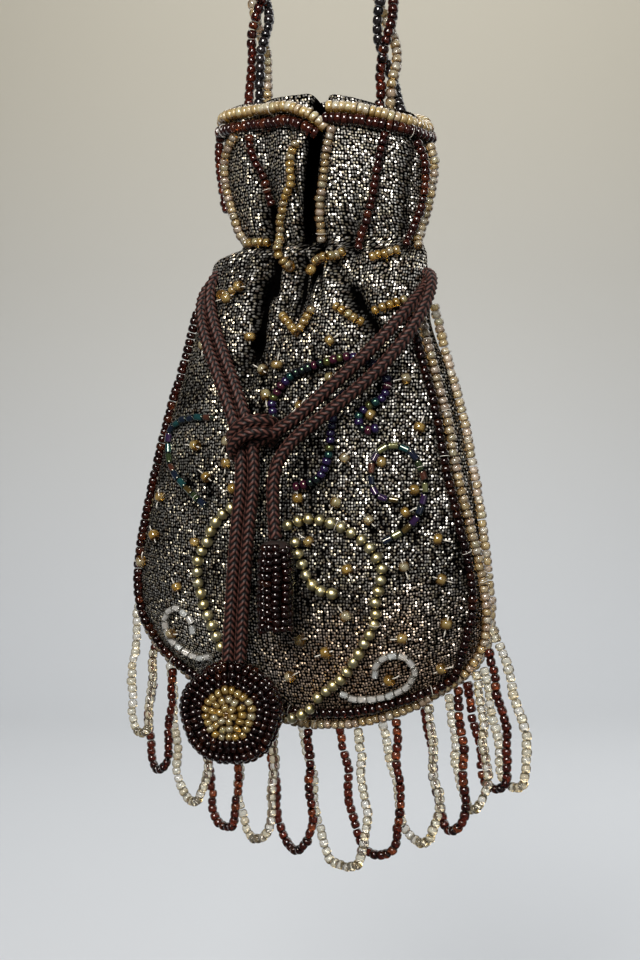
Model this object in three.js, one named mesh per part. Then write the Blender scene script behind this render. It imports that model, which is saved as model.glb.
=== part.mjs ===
// A small brocade drawstring pouch, edged and embroidered with strings of beads, that hangs from
// a strap of three twisted bead strings. Millimetres, +Z up, the front faces -Y and +X is right.
// The origin is the top of the strap, where a shoulder or a hook carries it.
import * as THREE from "three";

// Driving sizes
const STRAP_DROP = 200; // top of the strap to the rim
const POUCH_HEIGHT = 153.2; // rim to the bottom seam
const WALL = 1.5; // lined brocade
const GAP = 0.3; // clearance between neighbouring pieces
const LINE_GAP = 0.45; // clearance between the cloth and a string that crosses its folds
const SEED = 2.3; // seed bead string
const ROUND = 2.6; // round metal bead string
const BUGLE = 2.0; // bugle bead string
const CORD = 2.9; // one braided drawstring cord
const STRAP_TWIST = 2.2; // strand centre to the strap's own centre
const STRAP_TURNS = 10.5; // turns of the strands from foot to foot
const SECTION_POWER = 2.4; // superellipse power of the pouch's level sections
const BOW_POWER = 2.2; // how the bottom seam rises to its corners
const DIP_POWER = 1.8; // how the rim falls to its right end
const CASING_DOWN = 36; // drawstring casing below the rim
const PLEAT_PITCH = 7.5; // gathers along the casing
const PLEAT_DEEP = 0.9;
const PLEAT_REACH = 8;

const COLOURS = {
  brocade: 0x4a4338,
  gold: 0xd9c095,
  brown: 0x431a0f,
  dark: 0x2a2830,
  metal: 0xcfbd7d,
  cord: 0x3d1c14,
  bugle: 0x3f6a66,
  clear: 0xdde6ea,
  vine: 0x4b4166,
};

// Level sections of the pouch, from the rim to the bottom seam: half width, middle of the width,
// depth in front of the seam and behind it, rise to both ends, lean to the right, fall at the right.
const SECTIONS = [
  { down: 1, half: 28.2, mid: 5.8, front: 12.5, back: 8.5, bow: 0, lean: 0, dip: 6.5 },
  { down: 12, half: 29.2, mid: 6.0, front: 13.0, back: 9.0, bow: 0, lean: 0, dip: 4.5 },
  { down: 22, half: 27.8, mid: 6.2, front: 12.5, back: 9.0, bow: 0, lean: 0, dip: 2.5 },
  { down: 30, half: 25.8, mid: 6.6, front: 11.5, back: 8.5, bow: 0, lean: 0, dip: 1.0 },
  { down: 36, half: 24.4, mid: 7.0, front: 10.5, back: 8.5, bow: 0, lean: 0, dip: 0 },
  { down: 41, half: 27.6, mid: 4.0, front: 12.0, back: 9.0, bow: 0, lean: 0, dip: 0 },
  { down: 48, half: 29.4, mid: 2.8, front: 13.0, back: 9.5, bow: 0, lean: 0, dip: 0 },
  { down: 56, half: 30.8, mid: 1.9, front: 13.5, back: 10.0, bow: 0, lean: 0, dip: 0 },
  { down: 68, half: 34.4, mid: 1.8, front: 14.0, back: 11.0, bow: 0, lean: 0, dip: 0 },
  { down: 82, half: 38.0, mid: 1.4, front: 14.5, back: 12.0, bow: 0, lean: 0, dip: 0 },
  { down: 97, half: 41.1, mid: 1.2, front: 14.5, back: 12.0, bow: 0.5, lean: 0.4, dip: 0 },
  { down: 112, half: 43.5, mid: 0.7, front: 13.5, back: 11.5, bow: 2.2, lean: 1.0, dip: 0 },
  { down: 126, half: 44.9, mid: 0.8, front: 12.0, back: 10.5, bow: 5.0, lean: 1.5, dip: 0 },
  { down: 138, half: 44.8, mid: 1.2, front: 9.5, back: 8.5, bow: 8.5, lean: 1.5, dip: 0 },
  { down: 147, half: 42.9, mid: 1.1, front: 6.0, back: 5.5, bow: 12.2, lean: 1.5, dip: 0 },
  { down: POUCH_HEIGHT, half: 40.5, mid: 0.8, front: 2.4, back: 2.4, bow: 15.6, lean: 1.5, dip: 0 },
];

// Folds: each is a valley from its top to its foot, with its depth there and its two widths. It
// fades out over a short way beyond both ends.
const FOLD_FADE = 5;
const FRONT_FOLDS = [
  { top: 0, across: 8.5, deep: 13, foot: 33, footAcross: 3.8, footDeep: 9, left: 5, right: 2.6 },
  { top: 42, across: 3, deep: 5.5, foot: 64, footAcross: 0, footDeep: 0, left: 5, right: 4 },
  { top: 0, across: -8.5, deep: 2.6, foot: 32, footAcross: -3, footDeep: 1.5, left: 3.5, right: 3.5 },
  { top: 42, across: -7, deep: 4.2, foot: 84, footAcross: -7.5, footDeep: 0, left: 4.5, right: 4.5 },
  { top: 42, across: 16, deep: 3, foot: 64, footAcross: 25, footDeep: 0, left: 4, right: 4 },
  { top: 42, across: -18, deep: 2, foot: 64, footAcross: -24, footDeep: 0, left: 4, right: 4 },
];
const BACK_FOLDS = [
  { top: 0, across: 4, deep: 4, foot: 32, footAcross: 3, footDeep: 2.5, left: 6, right: 6 },
  { top: 42, across: 3, deep: 3, foot: 75, footAcross: 0, footDeep: 0, left: 5, right: 5 },
  { top: 42, across: -9, deep: 2.5, foot: 70, footAcross: -14, footDeep: 0, left: 4, right: 4 },
  { top: 42, across: 15, deep: 2.5, foot: 70, footAcross: 19, footDeep: 0, left: 4, right: 4 },
];

// Rows of the cloth from the rim to the seam, and the turn between its columns in degrees.
const CLOTH_ROWS = [1, 8, 16, 24, 31, 36, 41, 48, 58, 72, 88, 106, 124, 139, 148, POUCH_HEIGHT];
const INNER_LAST_ROW = 150.8;
const TURN_STEP = 7.5;
const CLEFT_STEP = 3.75;
const CLEFT_SPAN = { from: 60, to: 105 };

// Bead lines on the front, as across, down.
const FRONT_LINES = {
  neck_gold_1: { bead: SEED, colour: "gold", steps: 5, rows: [
    [-13.4, 9.7], [-15.7, 12.3], [-17, 18], [-15.3, 25.8], [-11.7, 34]] },
  neck_brown_1: { bead: SEED, colour: "brown", steps: 4, rows: [
    [-10.2, 9.5], [-9.3, 14.3], [-7.1, 19.5], [-3.8, 26.8]] },
  neck_gold_2: { bead: SEED, colour: "gold", steps: 6, rows: [
    [2.1, 11.8], [0.3, 20.8], [-2.9, 30.4], [-3.1, 36.2], [-1.8, 41]] },
  neck_gold_3: { bead: SEED, colour: "gold", steps: 5, rows: [
    [14, 9.5], [13.1, 14.1], [11.1, 20.5], [9.2, 26.5], [7.4, 33]] },
  neck_brown_2: { bead: SEED, colour: "brown", steps: 5, rows: [
    [24.7, 9], [23.6, 15.6], [22.4, 23.4], [20.3, 29.6], [19.3, 34.5]] },
  scroll_gold_left: { bead: ROUND, colour: "metal", steps: 8, rows: [
    [-12.1, 99.8], [-17, 104], [-20, 109.5], [-22.9, 115.3], [-22.9, 121.7], [-21.5, 127.3],
    [-19.1, 132.7], [-17.5, 137.5]] },
  scroll_gold_right: { bead: ROUND, colour: "metal", steps: 14, rows: [
    [4.4, 103.5], [7.4, 102.9], [13.4, 103.8], [20.4, 107.6], [24.1, 112.6], [25, 115.6],
    [23.4, 121.3], [22.7, 127.8], [19.6, 133.4], [14, 140.6], [9, 144.3], [5.8, 146.6]] },
  scroll_gold_curl: { bead: ROUND, colour: "metal", steps: 5, rows: [
    [3.5, 107.2], [4.6, 111.6], [6.5, 116.8], [8.7, 119.4], [13.9, 121]] },
  scroll_bugle_left: { bead: BUGLE, colour: "bugle", steps: 9, rows: [
    [-18.8, 78.5], [-24.8, 78.3], [-30.6, 79.6], [-33, 81.9], [-32.7, 86.8], [-31.6, 90.7],
    [-27.9, 94.9], [-22.2, 99.4], [-20.2, 100.6]] },
  scroll_bugle_right: { bead: BUGLE, colour: "bugle", steps: 13, rows: [
    [29.1, 98.4], [26.2, 98.1], [23.6, 96.7], [22.7, 91.1], [24.7, 86.7], [28.6, 85.8],
    [32.2, 88.3], [34.2, 92.8], [34.4, 97.8], [32.4, 103.2], [29.6, 105.9], [24.9, 108.3]] },
  scroll_clear_left: { bead: BUGLE, colour: "clear", steps: 9, rows: [
    [-26.1, 135.2], [-26.6, 131.6], [-30.8, 129.4], [-33.8, 132.5], [-34.6, 136.5], [-33.4, 140],
    [-30.5, 142], [-25.5, 142.2], [-21.5, 140]] },
  scroll_clear_right: { bead: BUGLE, colour: "clear", steps: 10, rows: [
    [21.6, 141.9], [22.2, 139.1], [24.5, 136.9], [28.5, 137.2], [31, 141.6], [29.2, 145.6],
    [24.6, 147.4], [18.6, 147.4], [14.6, 146.6], [12.1, 144.9]] },
  vine_upper: { bead: SEED, colour: "vine", steps: 14, rows: [
    [-1.3, 79.6], [-1.9, 75], [-0.1, 71.7], [2.7, 68.9], [7.3, 66.8], [12.1, 65.5], [17.4, 64.7],
    [21.7, 65.9], [25.8, 70.7], [25, 74.4], [22, 76.4], [19.6, 79], [21, 82], [24.2, 81.6]] },
  vine_lower: { bead: SEED, colour: "vine", steps: 7, rows: [
    [16.8, 73], [14.2, 75.5], [13.1, 81.9], [12.6, 86.9], [10.4, 92.7], [6.8, 94.7], [3.7, 95.4]] },
};

// Bead lines round the wall, as turn in degrees (0 right seam, 90 front, 180 left seam, 270 back)
// and down.
const WALL_LINES = {
  rim_gold_left: { colour: "gold", steps: 19, rows: [
    [98, 4.2], [108, 3.2], [122, 2.6], [140, 2.6], [160, 2.6], [180, 2.6], [205, 2.6], [235, 2.6],
    [264, 2.6]] },
  rim_brown_left: { colour: "brown", steps: 19, rows: [
    [98, 7], [108, 6], [122, 5.4], [140, 5.4], [160, 5.4], [180, 5.4], [205, 5.4], [235, 5.4],
    [264, 5.4]] },
  rim_gold_right: { colour: "gold", steps: 19, rows: [
    [72, 2.9], [62, 3.1], [50, 3.2], [35, 3.2], [18, 3.2], [0, 3.2], [-25, 3], [-55, 2.8],
    [-84, 2.6]] },
  rim_brown_right: { colour: "brown", steps: 19, rows: [
    [72, 5.7], [62, 5.9], [50, 6], [35, 6], [18, 6], [0, 6], [-25, 5.8], [-55, 5.6], [-84, 5.4]] },
  neck_brown_3: { colour: "brown", steps: 5, rows: [
    [24, 9.2], [17, 15], [15, 21], [16, 28], [22, 35]] },
  neck_gold_4: { colour: "gold", steps: 5, rows: [
    [3, 9.2], [2, 15], [2, 21], [3, 28], [6, 35]] },
};

// Seam strings: how far in front of the seam each runs on the left side, high and low on the right
// side, and along the bottom, where the brown one lies on a row of the front instead.
const EDGE_SIDE_ROWS = [51, 64, 78, 92, 106, 117];
const EDGE_CORNER_ROWS = [129, 138];
const EDGE_ROW_SHARES = [-0.9, -0.75, -0.5, -0.25, 0, 0.25, 0.5, 0.75, 0.9];
const EDGE_SEAM_PLACES = [-58, -51, -44, -37, -26, -13, 0, 13, 26, 37, 44, 51, 58];
const EDGES = {
  edge_brown_front: { colour: "brown", left: -6.2, right: -6.9, rightLow: -4.4, bottomRow: 150.2 },
  edge_gold_front: { colour: "gold", left: -0.9, right: -4.2, rightLow: -1.3, bottomY: -1.5 },
  edge_gold_back: { colour: "gold", left: 3.2, right: 1.4, rightLow: 1.8, bottomY: 1.5 },
};
const EDGE_TURN = { from: 92, to: 124 }; // where the right side passes from high to low
const SEAM_TURN = { from: 40, to: 75 }; // distance along the seam where the bottom passes to a side
const SEAM_LAST_ROW = 147; // last level of the seam above its corner
const SEAM_HALF_POINTS = 10; // points of the seam from its lowest point to a corner
const SIDE_SHARE = 0.68; // furthest that a side string lies from the seam, as a share of the depth
const EDGE_STEPS = 32;

// Fringe loops: both ends as distance along the seam from its lowest point (left is negative), the
// fall from the ends to the lowest bead, and the sideways swing of that bead.
const FRINGE_LAYER = 2.5;
const FRINGE = [
  { colour: "gold", from: -59, to: -45.5, hang: 28, swing: -1.5 },
  { colour: "brown", from: -48.5, to: -38.5, hang: 29.5, swing: -1.5 },
  { colour: "gold", from: -43, to: -28, hang: 32, swing: 1.5 },
  { colour: "brown", from: -31, to: -18.5, hang: 32, swing: 1.2 },
  { colour: "gold", from: -21, to: -8, hang: 30.8, swing: 0 },
  { colour: "brown", from: -12.5, to: 0.5, hang: 30.8, swing: 2.2 },
  { colour: "gold", from: -3, to: 13.5, hang: 33.4, swing: 3.5 },
  { colour: "brown", from: 7, to: 23.5, hang: 31, swing: 2 },
  { colour: "gold", from: 18, to: 32, hang: 30, swing: 3.4 },
  { colour: "brown", from: 29, to: 40.5, hang: 31, swing: 2.6 },
  { colour: "gold", from: 36, to: 46, hang: 29, swing: 2.5 },
  { colour: "brown", from: 41.5, to: 51, hang: 28, swing: 4 },
  { colour: "gold", from: 46.5, to: 56, hang: 32, swing: 6 },
];
// Loops: least half width near the foot, its share of the gap between the ends, where the legs bend,
// how high they stand straight, and the round of the foot.
const LOOP = {
  half: 4.2, spread: 0.42, bendOut: 0.6, bendDown: 0.4, straight: 8, round: 0.62, sole: 1.6, turn: 0.75,
};
const LOOP_STEPS = 9;

// Strap: its centre line from the left foot over the top to the right foot.
const STRAP_ROUTE = [
  { x: -14.2, y: 3.0, z: -203 }, { x: -13.8, y: 3.0, z: -190 }, { x: -12.8, y: 2.5, z: -150 },
  { x: -10.8, y: 1.5, z: -90 }, { x: -8.6, y: 0.6, z: -40 }, { x: -6.4, y: 0, z: -13 },
  { x: 0, y: 0, z: 0 }, { x: 6.8, y: 0, z: -13 }, { x: 10.2, y: 0.6, z: -40 },
  { x: 14.2, y: 1.5, z: -90 }, { x: 18.2, y: 2.5, z: -150 }, { x: 20.9, y: 3.2, z: -190 },
  { x: 21.4, y: 3.4, z: -204 },
];
const STRAP_FOOT = 0.045; // share of the route over which the strands lie side by side
const STRAP_STEPS = 54;
const STRANDS = [
  { name: "strap_brown_strand", colour: "brown", phase: 180, leftSlot: -1, rightSlot: 1 },
  { name: "strap_dark_strand", colour: "dark", phase: 300, leftSlot: 0, rightSlot: -1 },
  { name: "strap_gold_strand", colour: "gold", phase: 60, leftSlot: 1, rightSlot: 0 },
];

// Drawstring: the middle of each pair of cords, and the tails below the knot.
const KNOT = { x: -4.2, y: -21.5, z: -284.2, radius: 5.2, height: 9.5 };
const PAIR_SPACING = 3.3;
const PAIR_STACK = new THREE.Vector3(-0.37, 0.93, 0); // the way a pair is stacked at the casing
const PAIR_TURN = 3; // points of the route over which it turns to lie side by side
const LEFT_PAIR = [
  { x: -25.4, y: -3.2, z: -240.3 }, { x: -26.4, y: -5.8, z: -241.8 }, { x: -25.2, y: -9.2, z: -244.8 },
  { x: -22.4, y: -12, z: -249 }, { x: -19.4, y: -14.8, z: -255.5 }, { x: -14.8, y: -17.8, z: -264 },
  { x: -9, y: -20.8, z: -276 },
];
const RIGHT_PAIR = [
  { x: 33.6, y: -3, z: -240.3 }, { x: 35, y: -5.4, z: -242.2 }, { x: 34.8, y: -10.2, z: -247.8 },
  { x: 31.2, y: -16.6, z: -257 }, { x: 24.8, y: -19.4, z: -265.4 }, { x: 14.4, y: -20.8, z: -275.2 },
  { x: 2.8, y: -21.5, z: -285.6 },
];
const TAIL_ROSETTE_1 = [
  { x: -7.4, y: -21.2, z: -289.2 }, { x: -9.1, y: -21, z: -306 }, { x: -10.6, y: -20.4, z: -322 },
  { x: -12, y: -19.4, z: -337.2 },
];
const TAIL_ROSETTE_2 = [
  { x: -4.2, y: -21.2, z: -289.3 }, { x: -5.9, y: -21, z: -306 }, { x: -7.4, y: -20.4, z: -322 },
  { x: -8.8, y: -19.4, z: -337.2 },
];
const TAIL_TASSEL = [
  { x: -0.5, y: -21.6, z: -289.2 }, { x: 1.2, y: -22.2, z: -298 }, { x: 1.9, y: -22.6, z: -307.6 },
];
const CORD_SIDES = 8;

// Rosette and tassel
const ROSETTE = { x: -11.9, y: -18.4, z: -350, radius: 12.2, heart: 6.8, thick: 3.2 };
const TASSEL = { x: 2, y: -22.6, top: -308, radius: 4.5, height: 22.5, strings: 10 };

const TAU = 2 * Math.PI;
const group = new THREE.Group();

/** Add one closed piece to the group. */
function add(name, geometry, colour) {
  const material = new THREE.MeshStandardMaterial({ color: COLOURS[colour], roughness: 0.4 });
  const mesh = new THREE.Mesh(geometry, material);
  mesh.name = name;
  group.add(mesh);
}

/** Value raised to a power with its sign kept. */
function signedPower(value, power) {
  return Math.sign(value) * Math.abs(value) ** power;
}

/** One column of the section table at a level, by a smooth curve through its rows. */
function section(column, down) {
  const last = SECTIONS.length - 1;
  let i = 0;
  while (i < last - 1 && SECTIONS[i + 1].down < down) i += 1;
  const a = SECTIONS[i];
  const b = SECTIONS[i + 1];
  const before = SECTIONS[Math.max(i - 1, 0)];
  const after = SECTIONS[Math.min(i + 2, last)];
  const span = b.down - a.down;
  const u = THREE.MathUtils.clamp((down - a.down) / span, 0, 1);
  const slopeA = (b[column] - before[column]) / (b.down - before.down);
  const slopeB = (after[column] - a[column]) / (after.down - a.down);
  const rise = u * u * (3 - 2 * u);
  const bend = slopeA * u * (1 - u) * (1 - u) - slopeB * u * u * (1 - u);
  return a[column] + (b[column] - a[column]) * rise + span * bend;
}

/** How far one fold pushes the cloth in at a place. */
function foldDepth(fold, across, down) {
  const { clamp, lerp, smoothstep } = THREE.MathUtils;
  const u = clamp((down - fold.top) / (fold.foot - fold.top), 0, 1);
  const off = across - lerp(fold.across, fold.footAcross, u);
  const width = off < 0 ? fold.left : fold.right;
  const begun = smoothstep(down, fold.top - FOLD_FADE, fold.top);
  const ended = smoothstep(down, fold.foot, fold.foot + FOLD_FADE);
  const deep = lerp(fold.deep, fold.footDeep, u) * begun * (1 - ended);
  return deep * Math.exp(-off * off / (width * width));
}

/** Gathers along the casing, as a push into the pouch. */
function pleatDepth(across, down) {
  const level = (down - CASING_DOWN) / PLEAT_REACH;
  return PLEAT_DEEP * Math.exp(-level * level) * (0.5 + 0.5 * Math.cos(TAU * across / PLEAT_PITCH));
}

/** Height of the cloth where its share of the half width is c. */
function levelAt(c, down) {
  const rise = section("bow", down) * Math.abs(c) ** BOW_POWER;
  const fall = section("dip", down) * Math.max(0, c) ** DIP_POWER;
  return -STRAP_DROP - down + rise - section("lean", down) * c - fall;
}

/** Point on the outer face: turn 0 is the right seam, a quarter turn the front. */
function wall(turn, down) {
  const c = signedPower(Math.cos(turn), 2 / SECTION_POWER);
  const s = signedPower(Math.sin(turn), 2 / SECTION_POWER);
  const across = section("mid", down) + section("half", down) * c;
  const folds = s > 0 ? FRONT_FOLDS : BACK_FOLDS;
  const pleat = pleatDepth(across, down);
  const dent = folds.reduce((sum, fold) => sum + foldDepth(fold, across, down), pleat);
  const inset = dent * (1 - c ** 4);
  const depth = s > 0 ? section("front", down) * s - inset : section("back", down) * s + inset;
  return new THREE.Vector3(across, -depth, levelAt(c, down));
}

/** Outward normal of the wall. */
function wallNormal(turn, down) {
  const reach = 0.02;
  const along = wall(turn + reach, down).sub(wall(turn - reach, down));
  const under = Math.min(down + 0.4, POUCH_HEIGHT);
  const over = Math.max(down - 0.4, SECTIONS[0].down);
  const fall = wall(turn, under).sub(wall(turn, over));
  return along.cross(fall).normalize();
}

/** Turn of a place on the front, from its distance across. */
function turnAt(across, down) {
  const c = THREE.MathUtils.clamp((across - section("mid", down)) / section("half", down), -1, 1);
  return Math.acos(signedPower(c, SECTION_POWER / 2));
}

/** Point above the wall, for the middle of a string that lies on it. */
function above(turn, down, lift) {
  return wall(turn, down).addScaledVector(wallNormal(turn, down), lift);
}

/** Places between the rows of a line, so that the line follows every fold under it. */
function between(rows) {
  const places = rows.map(([a, b]) => new THREE.Vector3(a, b, 0));
  const line = new THREE.CatmullRomCurve3(places, false, "centripetal");
  return line.getPoints(4 * (rows.length - 1)).map((place) => [place.x, place.y]);
}

/** Closed solid from points and triangles. */
function solid(points, triangles) {
  const geometry = new THREE.BufferGeometry();
  const flat = points.flatMap((p) => [p.x, p.y, p.z]);
  geometry.setAttribute("position", new THREE.Float32BufferAttribute(flat, 3));
  geometry.setIndex(triangles);
  return geometry;
}

/** Round tube along a smooth curve through points. */
function tube(points, diameter, sides, steps) {
  const ring = Array.from({ length: sides }, (_, k) => {
    const angle = TAU * k / sides;
    return new THREE.Vector2(Math.cos(angle), Math.sin(angle)).multiplyScalar(diameter / 2);
  });
  const path = new THREE.CatmullRomCurve3(points, false, "centripetal");
  const settings = { steps, extrudePath: path, bevelEnabled: false };
  return new THREE.ExtrudeGeometry(new THREE.Shape(ring), settings);
}

/** Columns of the cloth, closer together at the cleft in front and, to match, behind. */
function clothTurns() {
  const turns = [];
  for (let degrees = 0; degrees <= 180; degrees += TURN_STEP) {
    turns.push(degrees);
    if (degrees >= CLEFT_SPAN.from && degrees < CLEFT_SPAN.to) turns.push(degrees + CLEFT_STEP);
  }
  const behind = turns.slice(1, -1).reverse().map((degrees) => 360 - degrees);
  return [...turns, ...behind].map((degrees) => THREE.MathUtils.degToRad(degrees));
}

/** Hollow pouch: an outer and an inner face joined at the rim, each closed at the bottom seam. */
function pouchShell() {
  const turns = clothTurns();
  const count = turns.length;
  const rows = CLOTH_ROWS.length;
  const points = [];
  for (const down of CLOTH_ROWS) for (const turn of turns) points.push(wall(turn, down));
  for (const row of CLOTH_ROWS) {
    const down = Math.min(row, INNER_LAST_ROW);
    for (const turn of turns) {
      const inward = wallNormal(turn, down).setZ(0).normalize();
      points.push(wall(turn, down).addScaledVector(inward, -WALL));
    }
  }
  const triangles = [];
  const inner = rows * count;
  const quad = (a, b, c, d) => triangles.push(a, b, c, a, c, d);
  for (let i = 0; i < count; i += 1) {
    const next = (i + 1) % count;
    for (let r = 0; r + 1 < rows; r += 1) {
      const top = r * count;
      const low = top + count;
      quad(top + i, top + next, low + next, low + i);
      quad(inner + top + i, inner + low + i, inner + low + next, inner + top + next);
    }
    quad(i, inner + i, inner + next, next);
  }
  const seam = (rows - 1) * count;
  const strip = (a, b, c, d) => {
    if (a !== b && b !== c) triangles.push(a, b, c);
    if (a !== d && d !== c) triangles.push(a, c, d);
  };
  for (let i = 0; i < count / 2; i += 1) {
    const facing = (count - i) % count;
    const facingNext = count - i - 1;
    strip(seam + i, seam + i + 1, seam + facingNext, seam + facing);
    strip(inner + seam + i, inner + seam + facing, inner + seam + facingNext, inner + seam + i + 1);
  }
  return solid(points, triangles);
}

/** Middle of the seam, down the left side, along the bottom and up the right side. */
function seamCurve() {
  const sideRows = [...EDGE_SIDE_ROWS, ...EDGE_CORNER_ROWS, SEAM_LAST_ROW];
  const at = (c, down) => {
    return new THREE.Vector3(section("mid", down) + c * section("half", down), 0, levelAt(c, down));
  };
  const places = Array.from({ length: 2 * SEAM_HALF_POINTS + 1 }, (_, k) => k / SEAM_HALF_POINTS - 1);
  const bottom = places.map((c) => at(c, POUCH_HEIGHT));
  const left = sideRows.map((down) => at(-1, down));
  const right = sideRows.map((down) => at(1, down)).reverse();
  return new THREE.CatmullRomCurve3([...left, ...bottom, ...right], false, "centripetal");
}

/** Point outside the seam, by its distance along the seam from the lowest point. */
function outsideSeam(distance, lift, y) {
  const u = 0.5 + distance / seamLength;
  const tangent = seam.getTangentAt(u);
  const out = new THREE.Vector3(tangent.z, 0, -tangent.x);
  return seam.getPointAt(u).addScaledVector(out, lift).setY(y);
}

/** Point of a string on the side of the pouch, some way in front of the seam or behind it. */
function onSide(c, y, down) {
  const depth = y < 0 ? section("front", down) : section("back", down);
  const share = Math.min(Math.abs(y) / depth, SIDE_SHARE) ** (SECTION_POWER / 2);
  const around = Math.asin(share) * -Math.sign(y);
  return above(c > 0 ? around : Math.PI - around, down, SEED / 2 + GAP);
}

/** Seam string: down the left side, along the bottom and up the right side. */
function edgePoints(edge) {
  const lift = SEED / 2 + LINE_GAP;
  const rows = edge.bottomRow ? [...EDGE_SIDE_ROWS, ...EDGE_CORNER_ROWS] : EDGE_SIDE_ROWS;
  const left = rows.map((down) => onSide(-1, edge.left, down));
  const { lerp, smoothstep } = THREE.MathUtils;
  const rightY = (down) => lerp(edge.right, edge.rightLow, smoothstep(down, EDGE_TURN.from, EDGE_TURN.to));
  const right = rows.map((down) => onSide(1, rightY(down), down)).reverse();
  const onRow = (c) => {
    const across = section("mid", edge.bottomRow) + c * section("half", edge.bottomRow);
    return above(turnAt(across, edge.bottomRow), edge.bottomRow, lift);
  };
  const onSeam = (distance) => {
    const side = distance < 0 ? edge.left : edge.rightLow;
    const share = smoothstep(Math.abs(distance), SEAM_TURN.from, SEAM_TURN.to);
    return outsideSeam(distance, lift, lerp(edge.bottomY, side, share));
  };
  const bottom = edge.bottomRow ? EDGE_ROW_SHARES.map(onRow) : EDGE_SEAM_PLACES.map(onSeam);
  return [...left, ...bottom, ...right];
}

/** Top of a fringe leg: just outside the seam strings, a little further out where the seam climbs. */
function legTop(distance, y) {
  const climb = Math.abs(seam.getTangentAt(0.5 + distance / seamLength).z);
  return outsideSeam(distance, SEED + LINE_GAP + GAP + climb * SEED / 2, y);
}

/** One fringe loop: its left leg hangs behind and its right leg in front. */
function loopPoints(loop) {
  const a = legTop(loop.from, FRINGE_LAYER);
  const b = legTop(loop.to, -FRINGE_LAYER);
  const foot = (a.z + b.z) / 2 - loop.hang;
  const middle = (a.x + b.x) / 2 + loop.swing;
  const half = Math.max(LOOP.half, LOOP.spread * (b.x - a.x));
  const { lerp } = THREE.MathUtils;
  const at = (x, y, z) => new THREE.Vector3(x, y, z);
  const bend = (end, x, y) => at(lerp(end.x, x, LOOP.bendOut), y, lerp(end.z, foot, LOOP.bendDown));
  const round = (side) => {
    return at(middle + side * LOOP.round * half, -side * LOOP.turn * FRINGE_LAYER, foot + LOOP.sole);
  };
  return [
    a,
    bend(a, middle - half, FRINGE_LAYER),
    at(middle - half, FRINGE_LAYER, foot + LOOP.straight),
    round(-1),
    at(middle, 0, foot),
    round(1),
    at(middle + half, -FRINGE_LAYER, foot + LOOP.straight),
    bend(b, middle + half, -FRINGE_LAYER),
    b,
  ];
}

/** One strand of the strap: a helix round the route that lies flat in its row at both feet. */
function strandPoints(strand) {
  const route = new THREE.CatmullRomCurve3(STRAP_ROUTE.map((p) => new THREE.Vector3(p.x, p.y, p.z)));
  const count = 3 * STRAP_STEPS;
  return Array.from({ length: count + 1 }, (_, k) => {
    const u = k / count;
    const tangent = route.getTangentAt(u);
    const side = new THREE.Vector3(-tangent.z, 0, tangent.x).normalize().multiplyScalar(-1);
    const foot = THREE.MathUtils.smoothstep(Math.min(u, 1 - u), 0, STRAP_FOOT);
    const twisted = THREE.MathUtils.clamp((u - STRAP_FOOT) / (1 - 2 * STRAP_FOOT), 0, 1);
    const angle = THREE.MathUtils.degToRad(strand.phase) + TAU * STRAP_TURNS * twisted;
    const flat = (u < 0.5 ? strand.leftSlot : strand.rightSlot) * (SEED + 2 * GAP);
    const across = THREE.MathUtils.lerp(flat, STRAP_TWIST * Math.cos(angle), foot);
    const point = route.getPointAt(u).addScaledVector(side, across);
    point.y += foot * STRAP_TWIST * Math.sin(angle);
    return point;
  });
}

/** Cord of a pair: one behind the other at the casing, then side by side facing the front. */
function beside(route, offset) {
  const points = route.map((p) => new THREE.Vector3(p.x, p.y, p.z));
  return points.map((point, k) => {
    const before = points[Math.max(k - 1, 0)];
    const after = points[Math.min(k + 1, points.length - 1)];
    const along = after.clone().sub(before);
    const flat = new THREE.Vector3(-along.z, 0, along.x).normalize();
    const share = THREE.MathUtils.smoothstep(k, 0, PAIR_TURN);
    const behind = PAIR_STACK.clone().projectOnPlane(along.normalize()).normalize();
    if (behind.dot(flat) < 0) behind.negate();
    const side = behind.lerp(flat, share).normalize();
    return point.clone().addScaledVector(side, offset);
  });
}

/** Solid of revolution about Z from radius and height rows, moved to its place. */
function turned(rows, segments) {
  const profile = rows.map(([r, z]) => new THREE.Vector2(r, z));
  return new THREE.LatheGeometry(profile, segments).rotateX(Math.PI / 2);
}

/** Coiled bead rosette: three rings round a domed heart, with its axis to the front. */
function rosetteRings() {
  const { radius, heart, thick } = ROSETTE;
  const inside = heart + GAP;
  const step = (radius - inside) / 3;
  const rows = [[inside, -thick]];
  rows.push([radius - 0.6, -thick], [radius, -thick + 1.2], [radius - 0.3, 0.6]);
  for (const k of [2, 1, 0]) {
    const middle = inside + (k + 0.5) * step;
    rows.push([middle, 1.6], [Math.max(middle - 0.5 * step, inside), 0.7]);
  }
  rows.push([inside, -thick]);
  return turned(rows, 16);
}

/** Domed middle of the rosette. */
function rosetteHeart() {
  const { heart, thick } = ROSETTE;
  const rows = [[0, -thick], [heart, -thick], [heart, 1.4], [0.8 * heart, 2.6], [0.66 * heart, 2.2]];
  rows.push([0.5 * heart, 3.4], [0.33 * heart, 3.1], [0.15 * heart, 4], [0, 4]);
  return turned(rows, 16);
}

/** Tassel: a bundle of bead strings round its own axis. */
function tassel() {
  const lobes = Array.from({ length: 3 * TASSEL.strings }, (_, k) => {
    const angle = TAU * k / (3 * TASSEL.strings);
    const radius = k % 3 === 0 ? TASSEL.radius - 0.7 : TASSEL.radius;
    return new THREE.Vector2(radius * Math.cos(angle), radius * Math.sin(angle));
  });
  const bevel = { bevelThickness: 1, bevelSize: 0.8, bevelOffset: -0.8, bevelSegments: 1 };
  const settings = { depth: TASSEL.height - 2, bevelEnabled: true, ...bevel };
  return new THREE.ExtrudeGeometry(new THREE.Shape(lobes), settings);
}

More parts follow.
